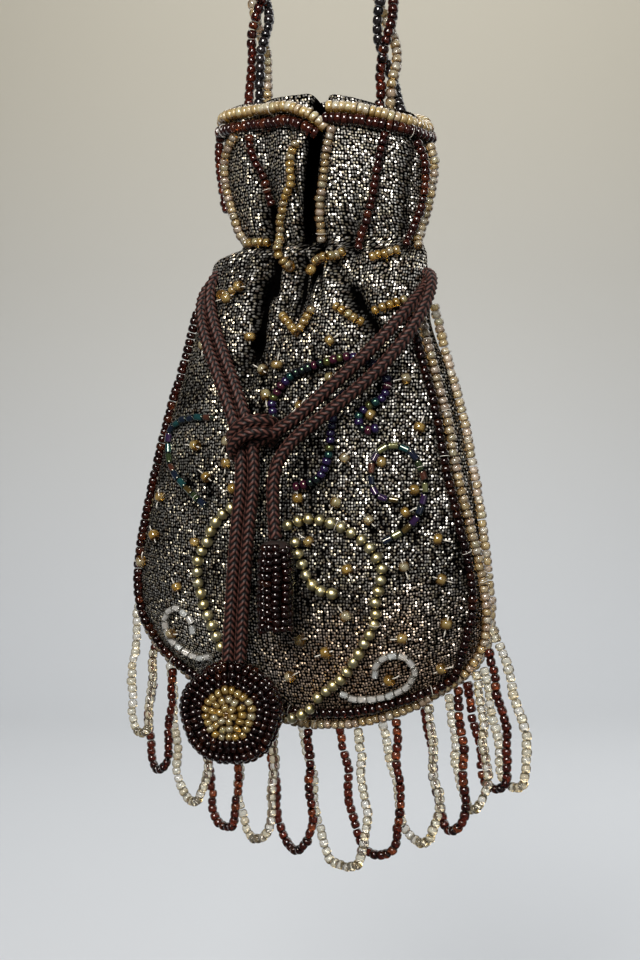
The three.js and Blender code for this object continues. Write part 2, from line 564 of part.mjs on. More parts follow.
/** Overhand knot: a rounded lump with a waist between its two wraps. */
function knot() {
  const { radius, height } = KNOT;
  const rows = [[0, -0.5 * height], [0.7 * radius, -0.47 * height], [radius, -0.25 * height]];
  rows.push([0.88 * radius, 0], [radius, 0.25 * height], [0.7 * radius, 0.47 * height], [0, 0.5 * height]);
  return turned(rows, 14).scale(1, 0.8, 1).translate(KNOT.x, KNOT.y, KNOT.z);
}

const seam = seamCurve();
const seamLength = seam.getLength();

add("pouch_shell", pouchShell(), "brocade");

for (const strand of STRANDS) {
  add(strand.name, tube(strandPoints(strand), SEED, 6, STRAP_STEPS), strand.colour);
}

for (const [name, line] of Object.entries(WALL_LINES)) {
  const spots = between(line.rows).map(([degrees, down]) => {
    return above(THREE.MathUtils.degToRad(degrees), down, SEED / 2 + LINE_GAP);
  });
  add(name, tube(spots, SEED, 5, line.steps), line.colour);
}

for (const [name, line] of Object.entries(FRONT_LINES)) {
  const spots = between(line.rows).map(([across, down]) => {
    return above(turnAt(across, down), down, line.bead / 2 + LINE_GAP);
  });
  add(name, tube(spots, line.bead, 5, line.steps), line.colour);
}

for (const [name, edge] of Object.entries(EDGES)) {
  add(name, tube(edgePoints(edge), SEED, 5, EDGE_STEPS), edge.colour);
}

FRINGE.forEach((loop, k) => {
  const name = "fringe_loop_" + String(k + 1).padStart(2, "0");
  add(name, tube(loopPoints(loop), SEED, 6, LOOP_STEPS), loop.colour);
});

const half = PAIR_SPACING / 2;
add("drawstring_left_1", tube(beside(LEFT_PAIR, half), CORD, CORD_SIDES, 7), "cord");
add("drawstring_left_2", tube(beside(LEFT_PAIR, -half), CORD, CORD_SIDES, 7), "cord");
add("drawstring_right_1", tube(beside(RIGHT_PAIR, half), CORD, CORD_SIDES, 9), "cord");
add("drawstring_right_2", tube(beside(RIGHT_PAIR, -half), CORD, CORD_SIDES, 9), "cord");
add("drawstring_knot", knot(), "cord");
add("tail_rosette_1", tube(beside(TAIL_ROSETTE_1, 0), CORD, CORD_SIDES, 6), "cord");
add("tail_rosette_2", tube(beside(TAIL_ROSETTE_2, 0), CORD, CORD_SIDES, 6), "cord");
add("tail_tassel", tube(beside(TAIL_TASSEL, 0), CORD, CORD_SIDES, 3), "cord");

const rosettePlace = [ROSETTE.x, ROSETTE.y, ROSETTE.z];
add("rosette_rings", rosetteRings().rotateX(Math.PI / 2).translate(...rosettePlace), "brown");
add("rosette_heart", rosetteHeart().rotateX(Math.PI / 2).translate(...rosettePlace), "gold");
add("tassel", tassel().translate(TASSEL.x, TASSEL.y, TASSEL.top - TASSEL.height + 0.7), "brown");

export default group;
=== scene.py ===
"""Beaded brocade drawstring bag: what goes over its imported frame.

Shapes are worked out in millimetres and put into the meshes in metres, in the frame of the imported
model: the front faces -Y, +X is right and the origin is the top of the strap.
"""

import logging
import math
from dataclasses import dataclass, field
from enum import Enum
from typing import Any, Iterable, Sequence

import bpy
import numpy as np
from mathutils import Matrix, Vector


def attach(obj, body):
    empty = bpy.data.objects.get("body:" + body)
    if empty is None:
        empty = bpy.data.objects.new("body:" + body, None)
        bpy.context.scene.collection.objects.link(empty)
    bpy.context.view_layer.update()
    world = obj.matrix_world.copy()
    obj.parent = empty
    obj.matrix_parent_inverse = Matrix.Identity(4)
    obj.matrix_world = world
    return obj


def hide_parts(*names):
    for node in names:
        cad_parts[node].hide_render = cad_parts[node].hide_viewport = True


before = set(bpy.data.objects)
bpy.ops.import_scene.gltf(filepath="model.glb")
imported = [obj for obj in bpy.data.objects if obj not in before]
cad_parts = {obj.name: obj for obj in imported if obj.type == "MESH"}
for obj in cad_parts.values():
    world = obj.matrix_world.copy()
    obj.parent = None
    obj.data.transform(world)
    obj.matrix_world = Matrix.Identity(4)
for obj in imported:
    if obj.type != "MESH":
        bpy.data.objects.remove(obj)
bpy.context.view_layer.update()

Array = np.ndarray
Colour = tuple[float, float, float, float]
Rows = Sequence[tuple[float, float]]
Spots = Sequence[tuple[float, float, float]]
Stops = Sequence[tuple[float, Colour]]
Material = bpy.types.Material
Piece = bpy.types.Object
Socket = bpy.types.NodeSocket

MM = 0.001
TAU = 2 * math.pi
ROOT = "root"
WEAVE = "weave"
WEAVE_SPAN = 400.0  # millimetres of cloth in one unit of the weave's own coordinates
EDGE_SHADE_VIEW = (0.37, -0.93, 0.0)  # level, towards the viewer: the way from which beads get painted shade on the two sides they show edge-on
RNG = np.random.default_rng(20)
log = logging.getLogger("bag")

# Bead lines on the front, as across, down.
NECK_GOLD_FRONT: dict[str, Rows] = {
    "neck_gold_1": [(-13.6, 8.8), (-15.2, 10.6), (-16.9, 13.4), (-17.6, 16.4), (-17.2, 20.7), (-16.2, 24.5),
                    (-15, 28.3), (-13.6, 32.5), (-12, 34.6)],
    "neck_gold_3": [(12.6, 9.4), (12, 12.6), (11.1, 17), (10.5, 21.8), (9.5, 26.7), (8.8, 31.6), (8.3, 36.4)],
}
NECK_AMBER: dict[str, Rows] = {
    "neck_gold_2": [(3.6, 12.4), (2, 17), (1.7, 22), (-0.6, 27), (-2.1, 33), (-1.8, 38.5), (-0.9, 42)],
}
NECK_BROWN_FRONT: dict[str, Rows] = {
    "neck_brown_1": [(-10.2, 9.5), (-9.3, 14.3), (-7.1, 19.5), (-3.8, 26.8)],
    "neck_brown_2": [(24.7, 9), (23.6, 15.6), (22.2, 23.4), (20.4, 29.6), (19.4, 34.5), (18.6, 39)],
}
SCROLL_METAL: dict[str, Rows] = {
    "scroll_gold_left": [(-12.1, 99.8), (-17, 104), (-20, 109.5), (-22.9, 115.3), (-22.9, 121.7),
                         (-21.5, 127.3), (-19.1, 132.7), (-17.5, 137.5)],
    "scroll_gold_right": [(1, 105), (4.4, 103.5), (7.4, 102.9), (13.4, 103.8), (20.4, 107.6), (24.1, 112.6),
                          (25, 115.6), (23.4, 121.3), (22.7, 127.8), (19.6, 133.4), (14, 140.6), (9, 144.3),
                          (5.8, 146.6)],
    "scroll_gold_curl": [(3.5, 107.2), (4.6, 111.6), (6.5, 116.8), (8.7, 119.4), (13.9, 121)],
}
SCROLL_BUGLE: dict[str, Rows] = {
    "scroll_bugle_left": [(-18.8, 78.5), (-24.8, 78.3), (-30.6, 79.6), (-33, 81.9), (-32.7, 86.8),
                          (-31.6, 90.7), (-27.9, 94.9), (-22.2, 99.4), (-20.2, 100.6)],
    "scroll_bugle_right": [(29.1, 98.4), (26.2, 98.1), (23.6, 96.7), (22.7, 91.1), (24.7, 86.7),
                           (28.6, 85.8), (32.2, 88.3), (34.2, 92.8), (34.4, 97.8), (32.4, 103.2),
                           (29.6, 105.9), (24.9, 108.3)],
}
SCROLL_CLEAR: dict[str, Rows] = {
    "scroll_clear_left": [(-26.1, 135.2), (-26.6, 131.6), (-30.8, 129.4), (-33.8, 132.5), (-34.6, 136.5),
                          (-33.4, 140), (-30.5, 142), (-25.5, 142.2), (-21.5, 140)],
    "scroll_clear_right": [(21.6, 141.9), (22.2, 139.1), (24.5, 136.9), (28.5, 137.2), (31, 141.6),
                           (29.2, 145.6), (24.6, 147.4), (18.6, 147.4), (14.6, 146.6), (12.1, 144.9)],
}
VINES: dict[str, Rows] = {
    "vine_upper": [(-1.3, 79.6), (-1.9, 75), (-0.1, 71.7), (2.7, 68.9), (7.3, 66.8), (12.1, 65.5),
                   (17.4, 64.7), (21.7, 65.9), (25.8, 70.7), (25, 74.4), (22, 76.4), (19.6, 79), (21, 82),
                   (24.2, 81.6)],
    "vine_lower": [(16.8, 73), (14.2, 75.5), (13.1, 81.9), (12.6, 86.9), (10.4, 92.7), (6.8, 94.7),
                   (3.7, 95.4)],
}
GILT_END: Rows = [(6.0, 146.9), (3.6, 148.6), (1.4, 149.6), (-1.7, 150.7)]  # over the brown seam string
GATHER_DASHES: list[Rows] = [
    [(-12.8, 34.9), (-5.8, 36.4)], [(8, 41.5), (14.3, 38.8)], [(20.9, 41.2), (27, 39.4)],
    [(-16.2, 48.9), (-12.3, 45.9)], [(-1.6, 53.7), (4, 58.9)], [(4.4, 58.2), (8, 52.6)],
    [(13.1, 52.2), (19.3, 57)], [(22.2, 53.7), (29, 50.7)],
]
FACING: Rows = [(-1, 41.4), (6.8, 43.2), (-17.2, 48.2)]  # single beads with their holes to the front
SCATTERED: Rows = [
    (-16, 49), (-12.5, 46.5), (-10.5, 58.5), (-22.5, 60.5), (-5.5, 67), (-1, 66), (-4, 73.5), (-16.5, 69.5),
    (5, 76), (12.5, 69.5), (12.5, 60.5), (30, 70), (22.5, 78.5), (33, 81.5), (-24, 85.5), (-14.5, 84.5),
    (-20, 93), (-14.5, 89.5), (-35.5, 99), (-37, 110), (-24, 110), (-42, 119), (-30, 123.5), (4.5, 98),
    (7, 108), (-13, 96), (16.5, 88.5), (25, 89.5), (14, 99), (32.5, 96), (30.5, 101.5), (22, 103),
    (37.5, 108), (16.5, 114.5), (30, 114.5), (38, 118), (15.5, 126), (-33, 138), (3.5, 132), (0, 141.5),
    (10, 135), (29, 132.5), (39, 130.5), (25, 143), (37, 144),
]

# Bead lines round the wall, as turn in degrees (0 right seam, 90 front, 180 left seam) and down.
RIM_GOLD: dict[str, Rows] = {
    "rim_gold_left": [(97, 3.7), (108, 3.4), (122, 3.3), (140, 3.4), (160, 3.4), (180, 3.2), (205, 2.8),
                      (235, 2.6), (264, 2.6)],
    "rim_gold_right": [(74, 4.2), (62, 4.1), (50, 4), (35, 3.8), (18, 3.6), (0, 3.4), (-25, 3), (-55, 2.8),
                       (-84, 2.6)],
}
RIM_BROWN: dict[str, Rows] = {
    "rim_brown_left": [(97, 7.2), (108, 7), (122, 6.9), (140, 6.9), (160, 6.6), (180, 6.2), (205, 5.8),
                       (235, 5.6), (264, 5.4)],
    "rim_brown_right": [(74, 7.2), (62, 7.1), (50, 7), (35, 6.8), (18, 6.5), (0, 6.2), (-25, 5.8), (-55, 5.6),
                        (-84, 5.4)],
}
RIM_START: dict[str, Spots] = {  # where each rim string begins, across the top of the cleft
    "rim_gold_left": [(10.8, -12.8, -209.6), (9.2, -13.8, -207.9), (7.0, -14.3, -206.3)],
    "rim_gold_right": [(11.4, -14.0, -204.8)],
    "rim_brown_left": [(8.8, -13.2, -211.0), (6.6, -14.2, -209.6)],
    "rim_brown_right": [(10.6, -14.0, -207.6)],
}
NECK_GOLD_SIDE: dict[str, Rows] = {
    "neck_gold_4": [(7, 8.4), (5, 14), (5, 20), (7, 27), (12, 34), (19, 38.6)],
}
NECK_BROWN_SIDE: dict[str, Rows] = {
    "neck_brown_3": [(25, 9.2), (19, 14), (16, 19), (16, 24), (18, 29), (24, 35), (30, 38.6)],
}
NECK_BROWN_EDGE: Rows = [(163, 5.6), (165, 9.2), (168, 12.5), (169, 17), (168, 22), (166, 26)]

# Half of each bead's outline from its hole to its middle, as radius and height shares.
OUTLINES: dict[str, Rows] = {
    "drop": [(0, 0.4), (0.34, 0.64), (0.72, 1), (0.97, 0.55), (1, 0)],
    "disc": [(0, 0.6), (0.34, 0.8), (0.84, 1), (0.98, 0.6), (1, 0)],
    "ball": [(0, 0.93), (0.36, 0.93), (0.7, 0.71), (0.93, 0.37), (1, 0)],
    "pipe": [(0, 0.86), (0.5, 0.9), (0.85, 1), (1, 0.93), (1, 0.7)],
}


def unit(vectors: Array) -> Array:
    """Vectors divided by their lengths."""
    return vectors / np.maximum(np.linalg.norm(vectors, axis=-1, keepdims=True), 1e-9)


def smoothstep(low: float, high: float, value: Array) -> Array:
    """Share 3t^2 - 2t^3 of the way from low to high, held to 0 and 1."""
    t = np.clip((value - low) / (high - low), 0, 1)
    return t * t * (3 - 2 * t)


def smooth(points: Array, per_span: int = 12) -> Array:
    """Points along a centripetal Catmull-Rom curve.

    Each span is a cubic between two points, with slopes weighted by the square roots of the chords.

    Args:
        points: the points that the curve passes, one a row.
        per_span: how many points each span gets.

    Returns:
        The curve's points, the last given point included.
    """
    p = np.vstack([2 * points[0] - points[1], points, 2 * points[-1] - points[-2]])
    d = np.maximum(np.linalg.norm(np.diff(p, axis=0), axis=1), 1e-6) ** 0.5
    d0, d1, d2 = d[:-2, None], d[1:-1, None], d[2:, None]
    a, b, c, e = p[:-3], p[1:-2], p[2:-1], p[3:]
    m1 = (d1 * ((b - a) / d0 - (c - a) / (d0 + d1) + (c - b) / d1))[:, None]
    m2 = (d1 * ((c - b) / d1 - (e - b) / (d1 + d2) + (e - c) / d2))[:, None]
    u = (np.arange(per_span) / per_span)[None, :, None]
    rise = u * u * (3 - 2 * u)
    spans = b[:, None] * (1 - rise) + c[:, None] * rise + m1 * u * (1 - u) ** 2 - m2 * u * u * (1 - u)
    return np.vstack([spans.reshape(-1, points.shape[1]), points[-1:]])


def run_along(line: Array) -> Array:
    """Distance travelled at each point of a line."""
    return np.concatenate([[0.0], np.cumsum(np.linalg.norm(np.diff(line, axis=0), axis=1))])


def at_distance(line: Array, distance: Array) -> Array:
    """Points of a line at the given distances along it."""
    run = run_along(line)
    return np.stack([np.interp(distance, run, line[:, k]) for k in range(line.shape[1])], axis=-1)


def spread(line: Array, pitch: float) -> Array:
    """Middles of equal steps along a line, each as near to the pitch as a whole number allows."""
    length = run_along(line)[-1]
    count = max(2, round(length / pitch))
    return at_distance(line, (np.arange(count) + 0.5) * length / count)


def rounded(line: Array, reach: float, step: float = 0.5) -> Array:
    """A line with its bends rounded off: a bell-weighted mean along it that keeps both ends."""
    run = run_along(line)[-1]
    even = at_distance(line, np.linspace(0, run, int(run / step)))
    k = int(3 * reach / step)
    bell = np.exp(-0.5 * (np.arange(-k, k + 1) * step / reach) ** 2)
    padded = np.vstack([2 * even[0] - even[k:0:-1], even, 2 * even[-1] - even[-2:-k - 2:-1]])
    return np.stack([np.convolve(c, bell / bell.sum(), "valid") for c in padded.T], axis=1)


def triads(tangents: Array, reference: Sequence[float], roll: Array | float = 0.0) -> Array:
    """Right-handed frames along a line, as matrices with the columns side, up and tangent.

    Args:
        tangents: unit vectors along the line.
        reference: a direction that no tangent follows; side is square to it.
        roll: turn of side and up about the tangent, in radians.

    Returns:
        One 3 by 3 matrix for each tangent.
    """
    side = unit(np.cross(np.asarray(reference, float), tangents))
    up = np.cross(tangents, side)
    c, s = np.cos(roll), np.sin(roll)
    if np.ndim(roll):
        c, s = c[:, None], s[:, None]
    return np.stack([side * c + up * s, up * c - side * s, tangents], axis=-1)


def lattice(rows: int, cols: int) -> Array:
    """Quads between neighbouring rows of a grid whose last column joins its first."""
    i = np.arange(cols)
    j = (i + 1) % cols
    r = np.arange(rows - 1)[:, None] * cols
    return np.stack([r + i, r + j, r + cols + j, r + cols + i], axis=-1).reshape(-1, 4)


@dataclass
class Form:
    """A mesh in the making: points in millimetres, faces, and values at points or corners."""

    points: Array
    quads: Array
    tris: Array = field(default_factory=lambda: np.zeros((0, 3), int))
    values: dict[str, Array] = field(default_factory=dict)
    corners: Array | None = None

    @classmethod
    def ringed(cls, rings: Array, first: Array, last: Array) -> "Form":
        """Closed skin over rings of points, with one pole beyond each end.

        Args:
            rings: points as ring, place round it, coordinate.
            first: the pole before the first ring.
            last: the pole after the last ring.

        Returns:
            The skin, facing out where the places run anticlockwise about the way along.
        """
        rows, cols = rings.shape[:2]
        i = np.arange(cols)
        j = (i + 1) % cols
        top = (rows - 1) * cols
        low = np.full(cols, rows * cols)
        fans = [np.stack([low, j, i], axis=1), np.stack([low + 1, top + i, top + j], axis=1)]
        points = np.vstack([rings.reshape(-1, 3), first[None], last[None]])
        return cls(points, lattice(rows, cols), np.concatenate(fans))

    @classmethod
    def revolved(cls, rows: Rows, sides: int) -> "Form":
        """Solid of revolution about Z from radius and height rows, the first and last on the axis."""
        angle = TAU * np.arange(sides) / sides
        profile = np.asarray(rows, float)
        ring = np.stack([np.cos(angle), np.sin(angle)], axis=-1)[None] * profile[1:-1, :1, None]
        height = np.broadcast_to(profile[1:-1, 1, None, None], ring.shape[:2] + (1,))
        ends = np.array([[0, 0, profile[0, 1]], [0, 0, profile[-1, 1]]])
        return cls.ringed(np.concatenate([ring, height], axis=-1), ends[0], ends[1])

    @classmethod
    def tube(cls, line: Array, radius: Array | float, sides: int, reference: Sequence[float]) -> "Form":
        """Closed tube along a line; the radius may vary along it and round it."""
        tangents = unit(np.gradient(line, axis=0))
        frames = triads(tangents, reference)
        angle = TAU * np.arange(sides) / sides
        spokes = frames[:, None, :, 0] * np.cos(angle)[None, :, None]
        spokes = spokes + frames[:, None, :, 1] * np.sin(angle)[None, :, None]
        size = np.broadcast_to(np.asarray(radius, float), (len(line), sides))
        rings = line[:, None] + spokes * size[..., None]
        tip = 0.3 * float(np.mean(size))
        return cls.ringed(rings, line[0] - tip * tangents[0], line[-1] + tip * tangents[-1])

    @classmethod
    def joined(cls, forms: Sequence["Form"]) -> "Form":
        """Several forms as one, with the values that the first has."""
        starts = np.cumsum([0] + [len(f.points) for f in forms[:-1]])
        values = {k: np.concatenate([f.values[k] for f in forms]) for k in forms[0].values}
        return cls(
            np.concatenate([f.points for f in forms]),
            np.concatenate([f.quads + s for f, s in zip(forms, starts)]),
            np.concatenate([f.tris + s for f, s in zip(forms, starts)]),
            values,
        )

    def copies(self, centres: Array, frames: Array, sizes: Array, tint: Array) -> "Form":
        """Copies of this form, each turned by a frame, sized and moved, with a tint of its own."""
        count, size = len(centres), len(self.points)
        points = np.einsum("nij,nvj->nvi", frames, self.points[None] * sizes[:, None]) + centres[:, None]
        shift = (np.arange(count) * size)[:, None, None]
        values = {k: np.tile(v, count) for k, v in self.values.items()}
        values["tint"] = np.repeat(tint, size)
        quads = (self.quads + shift).reshape(-1, 4)
        tris = (self.tris + shift).reshape(-1, 3)
        return Form(points.reshape(-1, 3), quads, tris, values)

    def put(self, name: str, finish: Material, slot: str, nodes: Sequence[str] = ()) -> Piece:
        """Makes the piece and hangs it on the bag's body.

        Args:
            name: the piece's name.
            finish: its material.
            slot: the record's material slot; not used.
            nodes: solids that it stands for.

        Returns:
            The new object.
        """
        mesh = bpy.data.meshes.new(name)
        mesh.from_pydata((self.points * MM).tolist(), [], self.quads.tolist() + self.tris.tolist())
        mesh.polygons.foreach_set("use_smooth", np.full(len(mesh.polygons), True))
        for key, value in self.values.items():
            mesh.attributes.new(key, "FLOAT", "POINT").data.foreach_set("value", value.astype(np.float32))
        if self.corners is not None:
            mesh.uv_layers.new(name=WEAVE).uv.foreach_set("vector", self.corners.astype(np.float32).ravel())
        mesh.materials.append(finish)
        mesh.update()
        piece = bpy.data.objects.new(name, mesh)
        bpy.context.collection.objects.link(piece)
        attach(piece, ROOT)
        if nodes:
            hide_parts(*nodes)
        log.info("%s: %d faces", name, len(mesh.polygons))
        return piece


class Bead(Enum):
    """Kinds of bead, as diameter, length along the thread, pitch, number of sides and profile."""

    SEED = (2.35, 1.62, 1.66, 9, "drop")
    EDGE = (2.45, 1.8, 1.84, 9, "drop")
    HANG = (2.4, 1.95, 1.97, 9, "drop")
    WIDE = (3.0, 1.5, 1.5, 12, "disc")
    LARGE = (2.7, 2.15, 2.2, 10, "drop")
    SINGLE = (2.8, 2.2, 2.3, 12, "drop")
    ROUND = (2.85, 2.85, 2.75, 12, "ball")
    BUGLE = (1.75, 2.55, 2.75, 8, "pipe")
    CLEAR = (1.75, 2.2, 2.4, 8, "pipe")

    def __init__(self, diameter: float, length: float, pitch: float, sides: int, profile: str) -> None:
        self.diameter = diameter
        self.length = length
        self.pitch = pitch
        self.sides = sides
        self.profile = profile

    def form(self) -> Form:
        """Closed bead about Z with radius 1 and half length 1, dimpled where the thread goes in."""
        half = OUTLINES[self.profile]
        rows = [(r, -z) for r, z in half] + [(r, z) for r, z in reversed(half) if z]
        form = Form.revolved(rows, self.sides)
        radius = np.hypot(form.points[:, 0], form.points[:, 1])
        angle = np.arctan2(form.points[:, 1], form.points[:, 0])
        form.values["joint"] = 1 - smoothstep(0.5, 0.97, radius)
        if self.profile == "pipe":
            form.values["joint"] = smoothstep(0.7, 0.97, np.abs(form.points[:, 2]))
        # painted shade: dark streaks along the bead, standing in for light refracted in the glass
        form.values["streak"] = 0.5 - 0.5 * np.cos(2 * angle + 1.4 * form.points[:, 2])
        return form

    def threaded(self, lines: Sequence[Array], loose: float = 0.05) -> Form:
        """Beads in a row along each line, each a little uneven in size, seat and tilt.

        Args:
            lines: the threads' points in millimetres.
            loose: how far the beads tilt and shift, as a share of their size.

        Returns:
            All the beads as one form.
        """
        centres = [spread(line, self.pitch) for line in lines]
        tangents = np.concatenate([unit(np.gradient(c, axis=0)) for c in centres])
        return self.placed(np.concatenate(centres), tangents, loose)

    def placed(self, centres: Array, axes: Array, loose: float = 0.05) -> Form:
        """Beads at given centres with their holes along given axes."""
        count = len(centres)
        axes = unit(axes + RNG.normal(0, loose, (count, 3)))
        frames = triads(axes, (0.37, 0.83, 0.42), RNG.uniform(0, TAU, count))
        across = 0.5 * self.diameter * RNG.normal(1, 0.045, count)
        along = 0.5 * self.length * RNG.normal(1, 0.06, count)
        sizes = np.stack([across, across, along], axis=1)
        shifted = centres + RNG.normal(0, 0.5 * loose * self.diameter, (count, 3))
        form = self.form()
        beads = form.copies(shifted, frames, sizes, RNG.uniform(0, 1, count))
        # painted shade: the value "side" is 1 where a bead is seen edge-on from the front, and darkens its
        # two sides
        spokes = np.einsum("nij,vj->nvi", frames[:, :, :2], unit(form.points[:, :2]))
        sideways = unit(np.cross(axes, EDGE_SHADE_VIEW))
        beads.values["side"] = np.abs(np.einsum("nvi,ni->nv", spokes, sideways)).ravel()
        return beads


class Val:
    """A number in a shader; Python operators on it add Math nodes to its material."""

    def __init__(self, paint: "Paint", socket: Socket) -> None:
        self.paint = paint
        self.socket = socket

    def _of(self, operation: str, *terms: "Val | float") -> "Val":
        """Result of one Math node on the terms."""
        made = self.paint.node("ShaderNodeMath", {"operation": operation}, dict(enumerate(terms)))
        return Val(self.paint, made.outputs[0])

    def __add__(self, other: "Val | float") -> "Val":
        """Sum."""
        return self._of("ADD", self, other)

    def __sub__(self, other: "Val | float") -> "Val":
        """Difference."""
        return self._of("SUBTRACT", self, other)

    def __rsub__(self, other: float) -> "Val":
        """Difference from a plain number."""
        return self._of("SUBTRACT", other, self)

    def __mul__(self, other: "Val | float") -> "Val":
        """Product."""
        return self._of("MULTIPLY", self, other)

    def step(self, low: float, high: float) -> "Val":
        """Smooth share of the way from low to high."""
        sockets = {0: self, 1: low, 2: high, 3: 0.0, 4: 1.0}
        made = self.paint.node("ShaderNodeMapRange", {"interpolation_type": "SMOOTHSTEP"}, sockets)
        return Val(self.paint, made.outputs[0])


class Paint:
    """One material in the making, on the Principled shader that a new material has."""

    def __init__(self, name: str) -> None:
        self.material = bpy.data.materials.new(name)
        self.material.use_nodes = True
        self.tree = self.material.node_tree
        self.shader = self.tree.nodes["Principled BSDF"]

    def feed(self, socket: Socket, value: Any) -> None:
        """Links a socket to a value or sets its plain number or colour."""
        source = value.socket if isinstance(value, Val) else value
        if isinstance(source, Socket):
            self.tree.links.new(source, socket)
        else:
            socket.default_value = source

    def node(
        self, kind: str, settings: dict[str, Any] | None = None, sockets: dict[Any, Any] | None = None
    ) -> Any:
        """Adds a node.

        Args:
            kind: the node's type.
            settings: properties that are set first; "stops" are a ramp's places and colours.
            sockets: values or links of its sockets, by name or number.

        Returns:
            The node.
        """
        made = self.tree.nodes.new(kind)
        for key, value in (settings or {}).items():
            if key != "stops":
                setattr(made, key, value)
                continue
            elements = made.color_ramp.elements
            while len(elements) < len(value):
                elements.new(1.0)
            for element, (place, colour) in zip(elements, value):
                element.position, element.color = place, colour
        for key, value in (sockets or {}).items():
            self.feed(made.inputs[key], value)
        return made

    def value(self, attribute: str) -> Val:
        """A value that the piece's mesh carries."""
        made = self.node("ShaderNodeAttribute", {"attribute_name": attribute})
        return Val(self, made.outputs["Fac"])

    def split(self, vector: Socket) -> tuple[Val, Val, Val]:
        """The three parts of a vector."""
        made = self.node("ShaderNodeSeparateXYZ", None, {0: vector})
        x, y, z = (Val(self, socket) for socket in made.outputs)
        return x, y, z

    def place(self) -> Socket:
        """The point's place on the bag, in metres."""
        return self.node("ShaderNodeTexCoord").outputs["Object"]

    def noise(self, vector: Any, scale: float, detail: float = 2.0) -> Val:
        """Soft noise about 0.5."""
        made = self.node("ShaderNodeTexNoise", None, {"Vector": vector, "Scale": scale, "Detail": detail})
        return Val(self, made.outputs["Fac"])

    def mix(self, share: Val | float, first: Any, second: Any) -> Socket:
        """Colour between two colours."""
        made = self.node("ShaderNodeMix", {"data_type": "RGBA"}, {0: share, 6: first, 7: second})
        return made.outputs[2]

    def ramp(self, share: Val, stops: Stops) -> Socket:
        """Colour picked from stops by a share, in steps."""
        made = self.node("ShaderNodeValToRGB", {"stops": stops}, {"Fac": share})
        made.color_ramp.interpolation = "CONSTANT"
        return made.outputs["Color"]

    def bump(self, height: Val, strength: float, distance: float) -> Socket:
        """Normal of a surface with small heights on it."""
        sockets = {"Strength": strength, "Distance": distance, "Height": height}
        return self.node("ShaderNodeBump", None, sockets).outputs["Normal"]

    def shade(self, sockets: dict[str, Any]) -> Material:
        """Feeds the shader and hands over the material."""
        for key, value in sockets.items():
            self.feed(self.shader.inputs[key], value)
        return self.material


@dataclass(frozen=True)
class GlassFinish:
    """Strung glass beads: a colour for each bead from the stops, darker where beads meet, with painted shade
    on the sides seen from the front, on the undersides and in streaks along each bead.
    """

    name: str
    stops: Stops
    joint: Colour
    clear: float  # share of the light that goes through
    roughness: float = 0.1
    film: float = 0.0  # nanometres of an iridescent film
    metallic: float = 0.0
    coat: float = 0.25
    streak: float = 0.0  # how dark the painted streaks of shade along a bead are, standing in for light refracted in the glass
    gloss: float = 0.5
    edge_shade: float = 0.6  # how dark the painted shade is on a bead's two sides, as seen from the front
    under: float = 0.0  # how dark the painted shade is on the undersides, as if lit from above
    soft: float = 0.05  # roughness of the coat
    joint_share: float = 0.85
    glass_ior: float = 1.52
    film_ior: float = 1.7

    def paint(self) -> Material:
        """The material."""
        p = Paint(self.name)
        body = p.ramp(p.value("tint"), self.stops)
        _, _, up = p.split(p.node("ShaderNodeNewGeometry").outputs["Normal"])
        # painted shade: darker on a bead's sides as seen from the front and on its underside, as if lit from
        # above
        painted_shade = p.value("side").step(0.5, 0.96) * self.edge_shade + (0 - up).step(-0.05, 0.75) * self.under
        share = p.value("joint") * self.joint_share + p.value("streak") * self.streak + painted_shade
        colour = p.mix(share, body, self.joint)
        return p.shade({
            "Base Color": colour, "Roughness": self.roughness, "Metallic": self.metallic,
            "IOR": self.glass_ior, "Specular IOR Level": self.gloss, "Transmission Weight": self.clear,
            "Coat Weight": self.coat, "Coat Roughness": self.soft, "Coat IOR": self.film_ior,
            "Thin Film Thickness": self.film, "Thin Film IOR": self.film_ior,
        })


